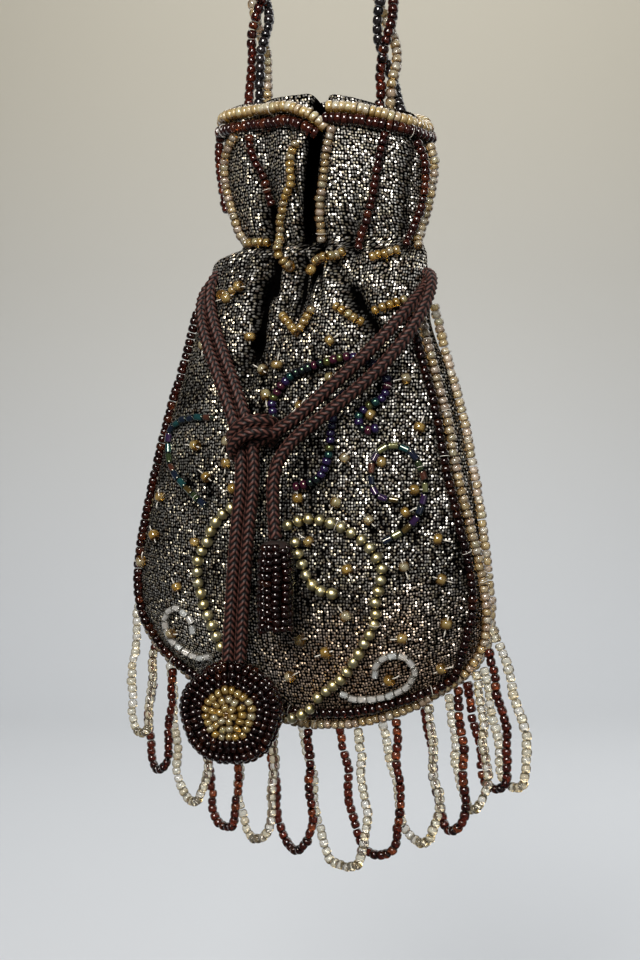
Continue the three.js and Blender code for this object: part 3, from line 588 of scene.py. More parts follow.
@dataclass(frozen=True)
class BrocadeFinish:
    """Black cloth with a metal thread that comes up in short upright floats, each with a painted glint of its
    own, and with painted light on the neck and near the bottom.
    """

    name: str = "brocade"
    float_wide: float = 0.70  # millimetres between floats across
    float_high: float = 0.77  # millimetres between floats down
    ground: Colour = (0.001, 0.0009, 0.0009, 1)
    silver: Colour = (1.0, 0.97, 0.90, 1)
    gold: Colour = (0.98, 0.88, 0.66, 1)
    copper: Colour = (0.85, 0.52, 0.32, 1)
    uneven: float = 0.6  # how far floats stray from an even grid
    patch_scale: float = 80.0  # broad lighter and darker patches, per metre
    ripple_turn: float = 0.3  # slant of the narrow ripples, in radians
    ripple_scale: tuple[float, float, float] = (0.42, 0.13, 1)
    neck_light_foot: float = 0.266  # metres below the origin where the painted light on the neck begins
    relief: float = 0.75

    def paint(self) -> Material:
        """The material."""
        p = Paint(self.name)
        across, down, _ = p.split(p.node("ShaderNodeUVMap", {"uv_map": WEAVE}).outputs["UV"])
        sockets = {"X": across * (WEAVE_SPAN / self.float_wide), "Y": down * (WEAVE_SPAN / self.float_high)}
        grid = p.node("ShaderNodeCombineXYZ", None, sockets).outputs[0]
        sockets = {"Vector": grid, "Scale": 1.0, "Randomness": self.uneven}
        cells = p.node("ShaderNodeTexVoronoi", {"voronoi_dimensions": "2D"}, sockets)
        first, second, third = p.split(cells.outputs["Color"])
        dot = 1 - Val(p, cells.outputs["Distance"]).step(0.16, 0.43)
        sockets = {0: grid, 1: cells.outputs["Position"]}
        off = p.node("ShaderNodeVectorMath", {"operation": "SUBTRACT"}, sockets)
        x, y, _ = p.split(off.outputs[0])
        tilt = x * (first - 0.5) + y * (second - 0.5)
        place = p.place()
        patch = p.noise(place, self.patch_scale)
        side, _, height = p.split(place)
        # painted light on the neck, stronger on its right
        neck = (height + self.neck_light_foot).step(0.0, 0.03) * (side.step(-0.012, 0.006) * 0.3 + 0.2)
        sockets = {"Vector": grid, "Rotation": (0, 0, self.ripple_turn), "Scale": self.ripple_scale}
        slanted = p.node("ShaderNodeMapping", None, sockets)
        ripple = p.noise(slanted.outputs[0], 1.0)
        # painted glint: a random share of light for each float, on top of broad patches and slanted ripples
        glint_and_light = third * 0.5 + (patch - 0.5) * 1.4 + (ripple - 0.5) * 1.1 + 0.10
        # painted light: floats on the neck and in the lowest part of the bag are lit more
        glint_and_light = glint_and_light + neck + (0 - height).step(0.32, 0.35) * 0.9
        thread = dot * glint_and_light.step(-0.1, 0.8) * (1 - p.value("shade"))
        low = (0 - height + patch * 0.03).step(0.328, 0.355) * side.step(-0.02, 0.01)
        warm = low * 0.65 + (second - 0.86).step(0.0, 0.02) * 0.4
        metal = p.mix(warm, p.mix(first.step(0.6, 0.75), self.silver, self.gold), self.copper)
        return p.shade({
            "Base Color": p.mix(thread, self.ground, metal), "Metallic": thread.step(0.0, 0.25) * 0.85,
            "Roughness": 0.36, "Specular IOR Level": 0.0, "Normal": p.bump(tilt, self.relief, MM),
        })


@dataclass(frozen=True)
class BraidFinish:
    """Satin braid: painted light on the stitches' ridges and painted shade in the gaps between them."""

    name: str = "braid"
    ridge: Colour = (0.105, 0.042, 0.033, 1)
    gap: Colour = (0.003, 0.0012, 0.001, 1)

    def paint(self) -> Material:
        """The material."""
        p = Paint(self.name)
        fibre = p.noise(p.place(), 2600.0)
        # painted light and shade: raised ridges lit, the gaps between stitches in shade
        colour = p.mix((p.value("ridge") * 0.9 + fibre * 0.2).step(0.38, 1.0), self.gap, self.ridge)
        return p.shade({
            "Base Color": colour, "Roughness": 0.56 - p.value("ridge") * 0.14, "Specular IOR Level": 0.25,
            "Normal": p.bump(fibre, 0.3, 0.0001),
        })


@dataclass(frozen=True)
class PlainFinish:
    """Thread or felt: one colour with a little mottling, and a painted shadow colour where the mottled relief
    is low.
    """

    name: str
    colour: Colour
    shadow: Colour
    scale: float
    roughness: float = 0.75

    def paint(self) -> Material:
        """The material."""
        p = Paint(self.name)
        mottle = p.noise(p.place(), self.scale, 3.0)
        return p.shade({
            "Base Color": p.mix(mottle.step(0.3, 0.7), self.shadow, self.colour), "Roughness": self.roughness,
            "Normal": p.bump(mottle, 0.25, 0.0001),
        })


@dataclass(frozen=True)
class WallFinish:
    """Pale studio wall and floor, with painted light: warmer and darker at the top, cooler and lighter below.
    """

    name: str = "studio_wall"
    high: Colour = (0.52, 0.49, 0.41, 1)
    low: Colour = (0.66, 0.70, 0.76, 1)

    def paint(self) -> Material:
        """The material."""
        p = Paint(self.name)
        _, _, height = p.split(p.place())
        return p.shade({"Base Color": p.mix(height.step(-0.75, 0.35), self.low, self.high), "Roughness": 0.9})


@dataclass
class Palette:
    """Every material of the bag, made once."""

    brocade: Material
    champagne: Material
    lined: Material
    amber: Material
    honey: Material
    brown: Material
    ruby: Material
    deep: Material
    dark: Material
    metal: Material
    bugle: Material
    clear: Material
    vine: Material
    cord: Material
    thread: Material
    felt: Material

    @classmethod
    def painted(cls) -> "Palette":
        """All the finishes as materials."""
        pale = ((0, (0.95, 0.91, 0.78, 1)), (0.35, (0.93, 0.87, 0.70, 1)), (0.65, (0.96, 0.93, 0.86, 1)),
                (0.86, (0.92, 0.81, 0.60, 1)))
        amber = ((0, (0.94, 0.80, 0.53, 1)), (0.3, (0.90, 0.71, 0.38, 1)), (0.52, (0.96, 0.90, 0.74, 1)),
                 (0.74, (0.94, 0.78, 0.62, 1)), (0.87, (0.86, 0.80, 0.54, 1)))
        lined = ((0, (0.96, 0.78, 0.44, 1)), (0.3, (0.92, 0.70, 0.32, 1)), (0.52, (0.97, 0.89, 0.66, 1)),
                 (0.74, (0.96, 0.78, 0.52, 1)), (0.87, (0.92, 0.82, 0.48, 1)))
        honey = ((0, (0.93, 0.68, 0.24, 1)), (0.4, (0.86, 0.56, 0.13, 1)), (0.7, (0.97, 0.88, 0.56, 1)),
                 (0.88, (0.85, 0.76, 0.38, 1)))
        deep = ((0, (0.06, 0.01, 0.005, 1)), (0.45, (0.036, 0.006, 0.004, 1)), (0.85, (0.13, 0.03, 0.01, 1)))
        ruby = ((0, (0.15, 0.022, 0.008, 1)), (0.45, (0.085, 0.013, 0.007, 1)),
                (0.85, (0.26, 0.055, 0.016, 1)))
        brown = ((0, (0.13, 0.019, 0.008, 1)), (0.45, (0.075, 0.011, 0.006, 1)),
                 (0.85, (0.28, 0.065, 0.022, 1)))
        dark = ((0, (0.012, 0.009, 0.009, 1)), (0.5, (0.006, 0.005, 0.006, 1)),
                (0.8, (0.022, 0.016, 0.015, 1)))
        gilt = ((0, (1.0, 0.88, 0.46, 1)), (0.5, (1.0, 0.90, 0.52, 1)), (0.8, (0.95, 0.80, 0.38, 1)))
        bugle = ((0, (0.01, 0.08, 0.088, 1)), (0.2, (0.042, 0.012, 0.082, 1)),
                 (0.36, (0.036, 0.058, 0.016, 1)), (0.5, (0.096, 0.06, 0.012, 1)),
                 (0.62, (0.007, 0.012, 0.04, 1)), (0.78, (0.11, 0.028, 0.015, 1)), (0.9, (0.2, 0.2, 0.08, 1)))
        clear = ((0, (0.99, 0.98, 0.95, 1)), (0.5, (0.93, 0.97, 0.97, 1)), (0.8, (0.99, 0.96, 0.90, 1)))
        vine = ((0, (0.03, 0.012, 0.075, 1)), (0.35, (0.01, 0.01, 0.016, 1)),
                (0.55, (0.075, 0.01, 0.03, 1)), (0.8, (0.01, 0.04, 0.045, 1)), (0.92, (0.075, 0.07, 0.02, 1)))
        return cls(
            brocade=BrocadeFinish().paint(),
            champagne=GlassFinish(
                "champagne_glass", pale, (0.36, 0.27, 0.12, 1), 0.9, 0.04, streak=0.25, edge_shade=0.75,
            ).paint(),
            lined=GlassFinish(
                "lined_glass", lined, (0.27, 0.14, 0.025, 1), 0.42, 0.05, coat=0.8, streak=0.4, gloss=0.8,
                edge_shade=0.7, under=0.7, soft=0.14,
            ).paint(),
            amber=GlassFinish(
                "amber_glass", amber, (0.22, 0.105, 0.024, 1), 0.68, 0.05, coat=0.6, streak=0.5, gloss=0.6,
                edge_shade=0.9, under=0.2, soft=0.1,
            ).paint(),
            honey=GlassFinish(
                "honey_glass", honey, (0.25, 0.115, 0.01, 1), 0.68, 0.05, coat=0.8, streak=0.5, gloss=0.8,
                edge_shade=0.7, under=0.5, soft=0.12,
            ).paint(),
            brown=GlassFinish(
                "brown_glass", brown, (0.008, 0.0015, 0.001, 1), 0.95, 0.04, streak=0.4,
            ).paint(),
            ruby=GlassFinish(
                "ruby_glass", ruby, (0.008, 0.0015, 0.001, 1), 0.75, 0.06, coat=0.35, streak=0.4, soft=0.12,
            ).paint(),
            deep=GlassFinish(
                "deep_brown_glass", deep, (0.003, 0.0006, 0.0006, 1), 0.85, 0.06, coat=0.12, streak=0.4,
                gloss=0.4, soft=0.12,
            ).paint(),
            dark=GlassFinish("dark_glass", dark, (0.002, 0.002, 0.002, 1), 0.0, 0.08, coat=0.8).paint(),
            metal=GlassFinish(
                "gilt", gilt, (0.13, 0.1, 0.025, 1), 0.0, 0.36, metallic=1.0, coat=1.0,
                edge_shade=0.25, under=0.1, soft=0.03,
            ).paint(),
            bugle=GlassFinish(
                "oil_slick_glass", bugle, (0.003, 0.003, 0.004, 1), 0.0, 0.1, film=420.0, metallic=0.3,
                coat=0.8, streak=0.5, edge_shade=0.4,
            ).paint(),
            clear=GlassFinish(
                "clear_glass", clear, (0.26, 0.25, 0.22, 1), 0.62, 0.06, coat=0.5, streak=0.35, edge_shade=0.8,
            ).paint(),
            vine=GlassFinish(
                "rainbow_glass", vine, (0.004, 0.003, 0.005, 1), 0.0, 0.1, film=400.0, metallic=0.4,
            ).paint(),
            cord=BraidFinish().paint(),
            thread=PlainFinish("white_thread", (0.80, 0.77, 0.70, 1), (0.62, 0.58, 0.50, 1), 900.0).paint(),
            felt=PlainFinish("brown_felt", (0.020, 0.008, 0.006, 1), (0.008, 0.004, 0.003, 1), 700.0).paint(),
        )


@dataclass(frozen=True)
class Fold:
    """A valley in the cloth: where its top and its foot are, how deep, and how wide to each side."""

    top: float  # distance below the rim
    across: float
    deep: float
    foot: float  # distance below the rim
    foot_across: float
    foot_deep: float
    left: float
    right: float
    slant: float = 0.0  # sideways lean of the valley as a share of its depth
    fade: float = 5.0  # how far it goes on beyond both ends

    def depth(self, across: Array, down: Array) -> Array:
        """Push into the pouch: a bell across the valley that fades out beyond both ends."""
        u = np.clip((down - self.top) / (self.foot - self.top), 0, 1)
        off = across - (self.across + (self.foot_across - self.across) * u)
        width = np.where(off < 0, self.left, self.right)
        begun = smoothstep(self.top - self.fade, self.top, down)
        ended = smoothstep(self.foot, self.foot + self.fade, down)
        deep = (self.deep + (self.foot_deep - self.deep) * u) * begun * (1 - ended)
        return deep * np.exp(-((off / width) ** 2))


@dataclass
class PouchForm:
    """The pouch's outer face as a function of turn and distance below the rim.

    Each level section is a superellipse with its own half width, middle and depths. Folds and gathers
    push it in, and the rows bow up to their ends, lean to the right and dip at the right.
    """

    drop: float = 200.0
    height: float = 153.2
    first: float = 1.0
    power: float = 2.4
    bow_power: float = 2.2
    dip_power: float = 1.8
    casing: float = 36.0
    crest: float = 2.4  # how far the back of the rim stands above the front
    bridge: float = 0.3  # share of a pleat's depth that a sewn string follows
    columns: tuple[str, ...] = ("down", "half", "mid", "front", "back", "bow", "lean", "dip")
    sections: Array = field(default_factory=lambda: np.array([
        [1, 25.0, 5.0, 12.5, 8.5, 0, 0, 6.5], [12, 27.2, 6.0, 13.0, 9.0, 0, 0, 4.5],
        [22, 26.2, 6.3, 12.5, 9.0, 0, 0, 2.5], [30, 24.7, 6.6, 11.5, 8.5, 0, 0, 1.0],
        [35.6, 23.4, 7.0, 10.0, 8.5, 0, 0, 0], [38.2, 27.3, 4.2, 11.8, 8.8, 0, 0, 0],
        [42, 28.3, 3.5, 12.8, 9.1, 0, 0, 0], [48, 29.6, 2.7, 13.2, 9.5, 0, 0, 0],
        [56, 30.8, 1.9, 13.5, 10.0, 0, 0, 0],
        [68, 34.8, 2.2, 14.0, 11.0, 0, 0, 0], [82, 38.8, 1.6, 14.5, 12.0, 0, 0, 0],
        [97, 42.1, 1.2, 14.5, 12.0, 0.5, 0.4, 0], [112, 44.6, 0.6, 13.5, 11.5, 2.2, 1.0, 0],
        [126, 46.0, 0.3, 12.0, 10.5, 5.0, 1.5, 0], [138, 45.5, 0.5, 9.5, 8.5, 8.5, 1.5, 0],
        [147, 42.9, 1.1, 6.0, 5.5, 12.2, 1.5, 0], [153.2, 40.5, 0.8, 2.4, 2.4, 15.6, 1.5, 0],
    ], float))
    front_folds: tuple[Fold, ...] = (
        Fold(0, 9.6, 13, 33, 5.2, 9, 1.5, 1.3, -0.3), Fold(42, 3, 5.5, 64, 0, 0, 5, 4),
        Fold(0, -8.5, 2.6, 32, -3, 1.5, 3.5, 3.5), Fold(42, -7, 4.2, 84, -7.5, 0, 4.5, 4.5),
        Fold(42, 16, 3, 64, 25, 0, 4, 4), Fold(42, -18, 2, 64, -24, 0, 4, 4),
    )
    pleats: tuple[Fold, ...] = (
        Fold(40, -4.2, 4.4, 47, -4.4, 4.0, 1.9, 1.5, fade=4), Fold(47, -7.0, 4.0, 60, -8.4, 4.0, 1.6, 1.5),
        Fold(61, -8.6, 3.4, 70, -10.5, 1.8, 2.0, 1.8),
        Fold(39, 7.3, 4.4, 50, 4.4, 1.6, 1.4, 1.4), Fold(40, 8, 3.6, 54, 9.2, 0.8, 1.2, 1.2),
        Fold(42, 12.2, 2.4, 51, 17.2, 2.8, 1.3, 1.6), Fold(50, 17.0, 3.0, 59, 22.8, 4.4, 1.7, 2.2),
        Fold(40, 23.4, 2.2, 47, 26, 0.8, 1.2, 1.2), Fold(39, -11.6, 2.2, 50, -13, 0.6, 1.3, 1.4),
        Fold(39, 3.4, 2.8, 54, 2.4, 1.8, 1.0, 1.1), Fold(52, -1.2, 2.2, 60, -2.6, 0.5, 1.0, 1.2),
        Fold(16, -6.4, 1.4, 36, -4.8, 4.4, 1.8, 2.0), Fold(24, 18.0, 0.8, 38, 16.4, 3.4, 1.8, 2.0),
        Fold(8, 30.6, 2.4, 34, 28, 2.6, 1.2, 1.4), Fold(8, 0.4, 1.0, 34, 3.4, 2.0, 1.1, 1.1),
    )
    back_folds: tuple[Fold, ...] = (
        Fold(0, 4, 4, 32, 3, 2.5, 6, 6), Fold(42, 3, 3, 75, 0, 0, 5, 5),
        Fold(42, -9, 2.5, 70, -14, 0, 4, 4), Fold(42, 15, 2.5, 70, 19, 0, 4, 4),
    )

    def column(self, name: str, down: Array) -> Array:
        """One column of the sections at each level: a cubic with the slopes of the rows either side."""
        x, v = self.sections[:, 0], self.sections[:, self.columns.index(name)]
        last = len(x) - 1
        after, before = np.minimum(np.arange(last + 1) + 1, last), np.maximum(np.arange(last + 1) - 1, 0)
        slope = (v[after] - v[before]) / (x[after] - x[before])
        i = np.clip(np.searchsorted(x, down) - 1, 0, last - 1)
        span = x[i + 1] - x[i]
        u = np.clip((down - x[i]) / span, 0, 1)
        rise = u * u * (3 - 2 * u)
        bend = slope[i] * u * (1 - u) ** 2 - slope[i + 1] * u * u * (1 - u)
        return v[i] + (v[i + 1] - v[i]) * rise + span * bend

    def across_at(self, c: Array, down: Array) -> Array:
        """Places across the bag at shares of the half width."""
        return self.column("mid", down) + self.column("half", down) * c

    def gathers(self, across: Array, down: Array) -> Array:
        """Small pleats along the casing, and soft puckers between the narrow pleats below it."""
        level = np.exp(-(((down - self.casing) / 8) ** 2))
        pleats = 0.9 * level * (0.5 + 0.5 * np.cos(TAU * across / 7.5))
        fine = 0.35 * level * np.cos(TAU * across / 3.1 + 0.4 * np.sin(across))
        below = smoothstep(36, 43, down) * (1 - smoothstep(48, 68, down))
        soft = 0.25 * np.sin(0.21 * across + 0.13 * down) * np.sin(0.17 * down - 0.11 * across)
        return pleats + fine + 0.35 * below * np.cos(TAU * across / (5.4 + 0.03 * down) + 0.8) + soft

    def level(self, c: Array, down: Array) -> Array:
        """Height of the cloth where its share of the half width is c."""
        rise = self.column("bow", down) * np.abs(c) ** self.bow_power
        fall = self.column("dip", down) * np.maximum(0, c) ** self.dip_power
        return -self.drop - down + rise - self.column("lean", down) * c - fall

    def shares(self, turn: Array) -> tuple[Array, Array]:
        """Shares of the half width and of the depth at turns round a superellipse."""
        c, s = np.cos(turn), np.sin(turn)
        return np.sign(c) * np.abs(c) ** (2 / self.power), np.sign(s) * np.abs(s) ** (2 / self.power)

    def crease(self, across: Array, down: Array) -> Array:
        """Bell along the casing's stitched line, which runs a little downhill to the right."""
        return np.exp(-(((down - self.casing - 0.4 - 0.09 * (across - 7)) / 1.1) ** 2))

    def hollow(self, turn: Array, down: Array) -> Array:
        """How far the front lies in the shade of its folds, 0 to 1."""
        c, s = self.shares(turn)
        across = self.across_at(c, down)
        narrow = sum(fold.depth(across, down) for fold in (self.front_folds[0], *self.pleats))
        broad = sum(fold.depth(across, down) for fold in self.front_folds[1:])
        shade = 1.1 * smoothstep(0.5, 3.2, narrow) + 0.4 * smoothstep(1, 5, broad)
        return np.where(s > 0, np.clip(shade + 0.8 * self.crease(across, down), 0, 1), 0.2)

    def wall(self, turn: Array, down: Array, fold: float = 1.0, pleat: float = 1.0) -> Array:
        """Points of the outer face.

        Args:
            turn: 0 at the right seam and a quarter turn at the front, in radians.
            down: distance below the rim.
            fold: share of the folds' depth.
            pleat: share of the narrow pleats' depth.

        Returns:
            The points, in millimetres.
        """
        turn, down = np.broadcast_arrays(np.asarray(turn, float), np.asarray(down, float))
        c, s = self.shares(turn)
        across = self.across_at(c, down)
        ahead = [fold * valley.depth(across, down) for valley in self.front_folds]
        lean = sum(valley.slant * depth for valley, depth in zip(self.front_folds, ahead))
        narrow = sum(valley.depth(across, down) for valley in self.pleats) + 1.3 * self.crease(across, down)
        behind = fold * sum(valley.depth(across, down) for valley in self.back_folds)
        fade = 1 - c**4
        dent = np.where(s > 0, sum(ahead) + pleat * narrow, behind) + fold * self.gathers(across, down)
        reach = np.where(s > 0, self.column("front", down), self.column("back", down)) * s
        aside = across + np.where(s > 0, lean, 0) * fade
        high = 1 - smoothstep(1, 14, down)
        raised = self.crest * smoothstep(0.1, 0.6, -s) * smoothstep(-1, 0.3, c) * high
        return np.stack([aside, dent * fade * np.sign(s) - reach, self.level(c, down) + raised], axis=-1)

    def normal(self, turn: Array, down: Array, pleat: float = 1.0) -> Array:
        """Outward normals, from the cross product of small steps along and down."""
        along = self.wall(turn + 0.02, down, 1.0, pleat) - self.wall(turn - 0.02, down, 1.0, pleat)
        under = np.minimum(down + 0.4, self.height)
        over = np.maximum(down - 0.4, self.first)
        return unit(np.cross(along, self.wall(turn, under, 1.0, pleat) - self.wall(turn, over, 1.0, pleat)))

    def above(self, turn: Array, down: Array, lift: float) -> Array:
        """Points a little outside the wall, which bridge the narrow pleats."""
        return self.wall(turn, down, 1.0, self.bridge) + lift * self.normal(turn, down, self.bridge)

    def turn_at(self, across: Array, down: Array) -> Array:
        """Turns of places on the front."""
        c = np.clip((across - self.column("mid", down)) / self.column("half", down), -1, 1)
        return np.arccos(np.sign(c) * np.abs(c) ** (self.power / 2))

    def on_front(self, rows: Rows, lift: float) -> Array:
        """Line just above the front through across and down rows."""
        places = smooth(np.asarray(rows, float), 8)
        return self.above(self.turn_at(places[:, 0], places[:, 1]), places[:, 1], lift)

    def on_wall(self, rows: Rows, lift: float) -> Array:
        """Line just above the wall through turn and down rows."""
        places = smooth(np.asarray(rows, float), 8)
        return self.above(np.radians(places[:, 0]), places[:, 1], lift)


@dataclass
class Cloth:
    """The lined brocade pouch, closed at the seam and rolled over at the rim."""

    shape: PouchForm
    wall: float = 1.5  # thickness
    roll: float = 0.35  # how far the rim stands above its two faces
    inner_shade: float = 0.75
    half_turns: int = 240
    outer_rows: int = 136
    inner_rows: int = 60
    inner_last: float = 150.8
    cleft_turn: float = 88.0  # degrees
    cleft_span: float = 7.0  # degrees
    cleft_extra: float = 4.0  # how many times more columns at the cleft

    def turns(self) -> Array:
        """Turns of the columns from the left seam round the back, the right and the front.

        The front's columns are spaced by a density of 1 plus a bell at the cleft, and the back mirrors
        the front, so that both faces meet along the seam.
        """
        fine = np.linspace(0, math.pi, 2000)
        bell = np.exp(-(((np.degrees(fine) - self.cleft_turn) / self.cleft_span) ** 2))
        summed = np.cumsum(1 + self.cleft_extra * bell)
        front = np.interp(np.linspace(summed[0], summed[-1], self.half_turns + 1), summed, fine)
        return np.concatenate([TAU - front[::-1], TAU + front[1:-1]])

    def grid(self, turn: Array, fold: float) -> Array:
        """Points of the outer face, the rim and the inner face, in rows from the seam up and down again."""
        down = np.linspace(self.shape.first, self.shape.height, self.outer_rows)[::-1]
        outer = self.shape.wall(turn[None], down[:, None], fold, fold)
        below = np.linspace(self.shape.first, self.inner_last, self.inner_rows)
        inward = self.shape.normal(turn[None], below[:, None], 0.0) * np.array([1, 1, 0])
        inner = self.shape.wall(turn[None], below[:, None], fold, fold) - self.wall * unit(inward)
        roll = 0.5 * (outer[-1] + inner[0]) + np.array([0, 0, self.roll])
        return np.concatenate([outer, roll[None], inner])

    def form(self) -> Form:
        """Outer face, rim and inner face on one grid, with a strip closing each face at the seam."""
        turn = self.turns()
        grid = self.grid(turn, 1.0)
        down = np.linspace(self.shape.first, self.shape.height, self.outer_rows)[::-1]
        shade = np.full(grid.shape[:2], self.inner_shade)
        shade[:self.outer_rows] = self.shape.hollow(turn[None], down[:, None])
        rows, cols = grid.shape[:2]
        back = np.arange(self.half_turns + 1)
        front = -back % cols
        strips = []
        for start, flip in ((0, False), ((rows - 1) * cols, True)):
            strip = np.stack([back[:-1], back[1:], front[1:], front[:-1]], axis=1) + start
            strips.append(strip[:, ::-1] if flip else strip)
        inside = np.concatenate([s[1:-1] for s in strips])
        ends = np.concatenate([s[[0, -1]] for s in strips])
        tris = np.array([list(dict.fromkeys(q)) for q in ends.tolist()])
        quads = np.concatenate([lattice(rows, cols)[:, ::-1], inside])
        corners = self.weave(self.grid(turn, 0.0), len(inside), len(tris))
        return Form(grid.reshape(-1, 3), quads, tris, {"shade": shade.ravel()}, corners)

    def weave(self, grid: Array, strip_quads: int, strip_tris: int) -> Array:
        """Weave coordinates at each corner: arc length round the smooth pouch, and distance down it."""
        rows, cols = grid.shape[:2]
        closed = np.concatenate([grid, grid[:, :1]], axis=1)
        step = np.linalg.norm(np.diff(closed, axis=1), axis=2)
        along = np.concatenate([np.zeros((rows, 1)), np.cumsum(step, axis=1)], axis=1)
        middle = 3 * cols // 4
        along = along - along[:, middle:middle + 1]
        fall = run_along(grid[:, middle] * np.array([0, 0.5, 1]))
        place = np.stack([along, np.broadcast_to(fall[:, None], along.shape)], axis=-1) / WEAVE_SPAN
        ring = np.stack([place[:-1, :-1], place[:-1, 1:], place[1:, 1:], place[1:, :-1]], axis=2)
        ring = ring[:, :, ::-1].reshape(-1, 2)
        return np.concatenate([ring, np.zeros((4 * strip_quads + 3 * strip_tris, 2))])

    def build(self, palette: Palette) -> Piece:
        """The cloth as a piece."""
        piece = self.form().put("pouch_cloth", palette.brocade, "brocade", ["pouch_shell"])
        return piece


@dataclass
class Trim:
    """Bead strings sewn on the cloth: round the mouth, down the neck and over the front."""

    shape: PouchForm
    seat: float = 0.1  # clearance under a bead
    rim_seat: float = 0.4  # height of a rim bead's middle, as a share of its diameter
    over_share: float = 0.9  # how far the end of the metal row climbs, as a share of a seed bead
    lines: list[tuple[Array, float]] = field(default_factory=list)

    def front(self, lines: Iterable[Rows], bead: Bead) -> list[Array]:
        """Lines just above the front, from across and down rows."""
        return [self.shape.on_front(rows, 0.5 * bead.diameter + self.seat) for rows in lines]

    def around(self, lines: Iterable[Rows], bead: Bead) -> list[Array]:
        """Lines just above the wall, from turn and down rows."""
        return [self.shape.on_wall(rows, 0.5 * bead.diameter + self.seat) for rows in lines]

    def rim(self, table: dict[str, Rows], bead: Bead) -> list[Array]:
        """Lines of a table of rim strings, each pressed a little into the cloth after its free start."""
        lines = []
        for name, rows in table.items():
            places = np.asarray(rows, float)
            wall = self.shape.above(np.radians(places[:, 0]), places[:, 1], self.rim_seat * bead.diameter)
            lines.append(smooth(np.vstack([np.array(RIM_START[name]), wall]), 10))
        return lines

    def sew(self, name: str, lines: list[Array], bead: Bead, finish: Material, slot: str,
            nodes: Iterable[str]) -> None:
        """Threads beads along lines as one piece, and keeps the lines for the stitches."""
        bead.threaded(lines).put(name, finish, slot, list(nodes))
        self.lines += [(line, 0.5 * bead.diameter) for line in lines]

    def build(self, palette: Palette) -> None:
        """All the sewn strings but those along the seam."""
        seed, wide, ball = Bead.SEED, Bead.WIDE, Bead.ROUND
        self.sew("rim_gold_beads", self.rim(RIM_GOLD, wide), wide, palette.lined, "gold_bead", RIM_GOLD)
        self.sew("rim_brown_beads", self.rim(RIM_BROWN, wide), wide, palette.ruby, "brown_bead", RIM_BROWN)
        amber = self.front([*NECK_AMBER.values(), *GATHER_DASHES], seed)
        self.sew("neck_amber_beads", amber, seed, palette.honey, "gold_bead", NECK_AMBER)
        gold = self.front(NECK_GOLD_FRONT.values(), seed) + self.around(NECK_GOLD_SIDE.values(), seed)
        nodes = [*NECK_GOLD_FRONT, *NECK_GOLD_SIDE]
        self.sew("neck_gold_beads", gold, seed, palette.amber, "gold_bead", nodes)
        brown = self.front(NECK_BROWN_FRONT.values(), seed)
        brown += self.around([*NECK_BROWN_SIDE.values(), NECK_BROWN_EDGE], seed)
        nodes = [*NECK_BROWN_FRONT, *NECK_BROWN_SIDE]
        self.sew("neck_brown_beads", brown, seed, palette.ruby, "brown_bead", nodes)
        self.sew("vine_beads", self.front(VINES.values(), seed), seed, palette.vine, "vine_bead", VINES)
        over = self.shape.on_front(GILT_END, 0.5 * ball.diameter + self.over_share * seed.diameter)
        metal = [*self.front(SCROLL_METAL.values(), ball), over]
        self.sew("scroll_metal_beads", metal, ball, palette.metal, "metal_bead", SCROLL_METAL)
        for name, table, bead, finish, slot in (
            ("scroll_bugle_beads", SCROLL_BUGLE, Bead.BUGLE, palette.bugle, "bugle_bead"),
            ("scroll_clear_beads", SCROLL_CLEAR, Bead.CLEAR, palette.clear, "clear_bead"),
        ):
            self.sew(name, self.front(table.values(), bead), bead, finish, slot, table)


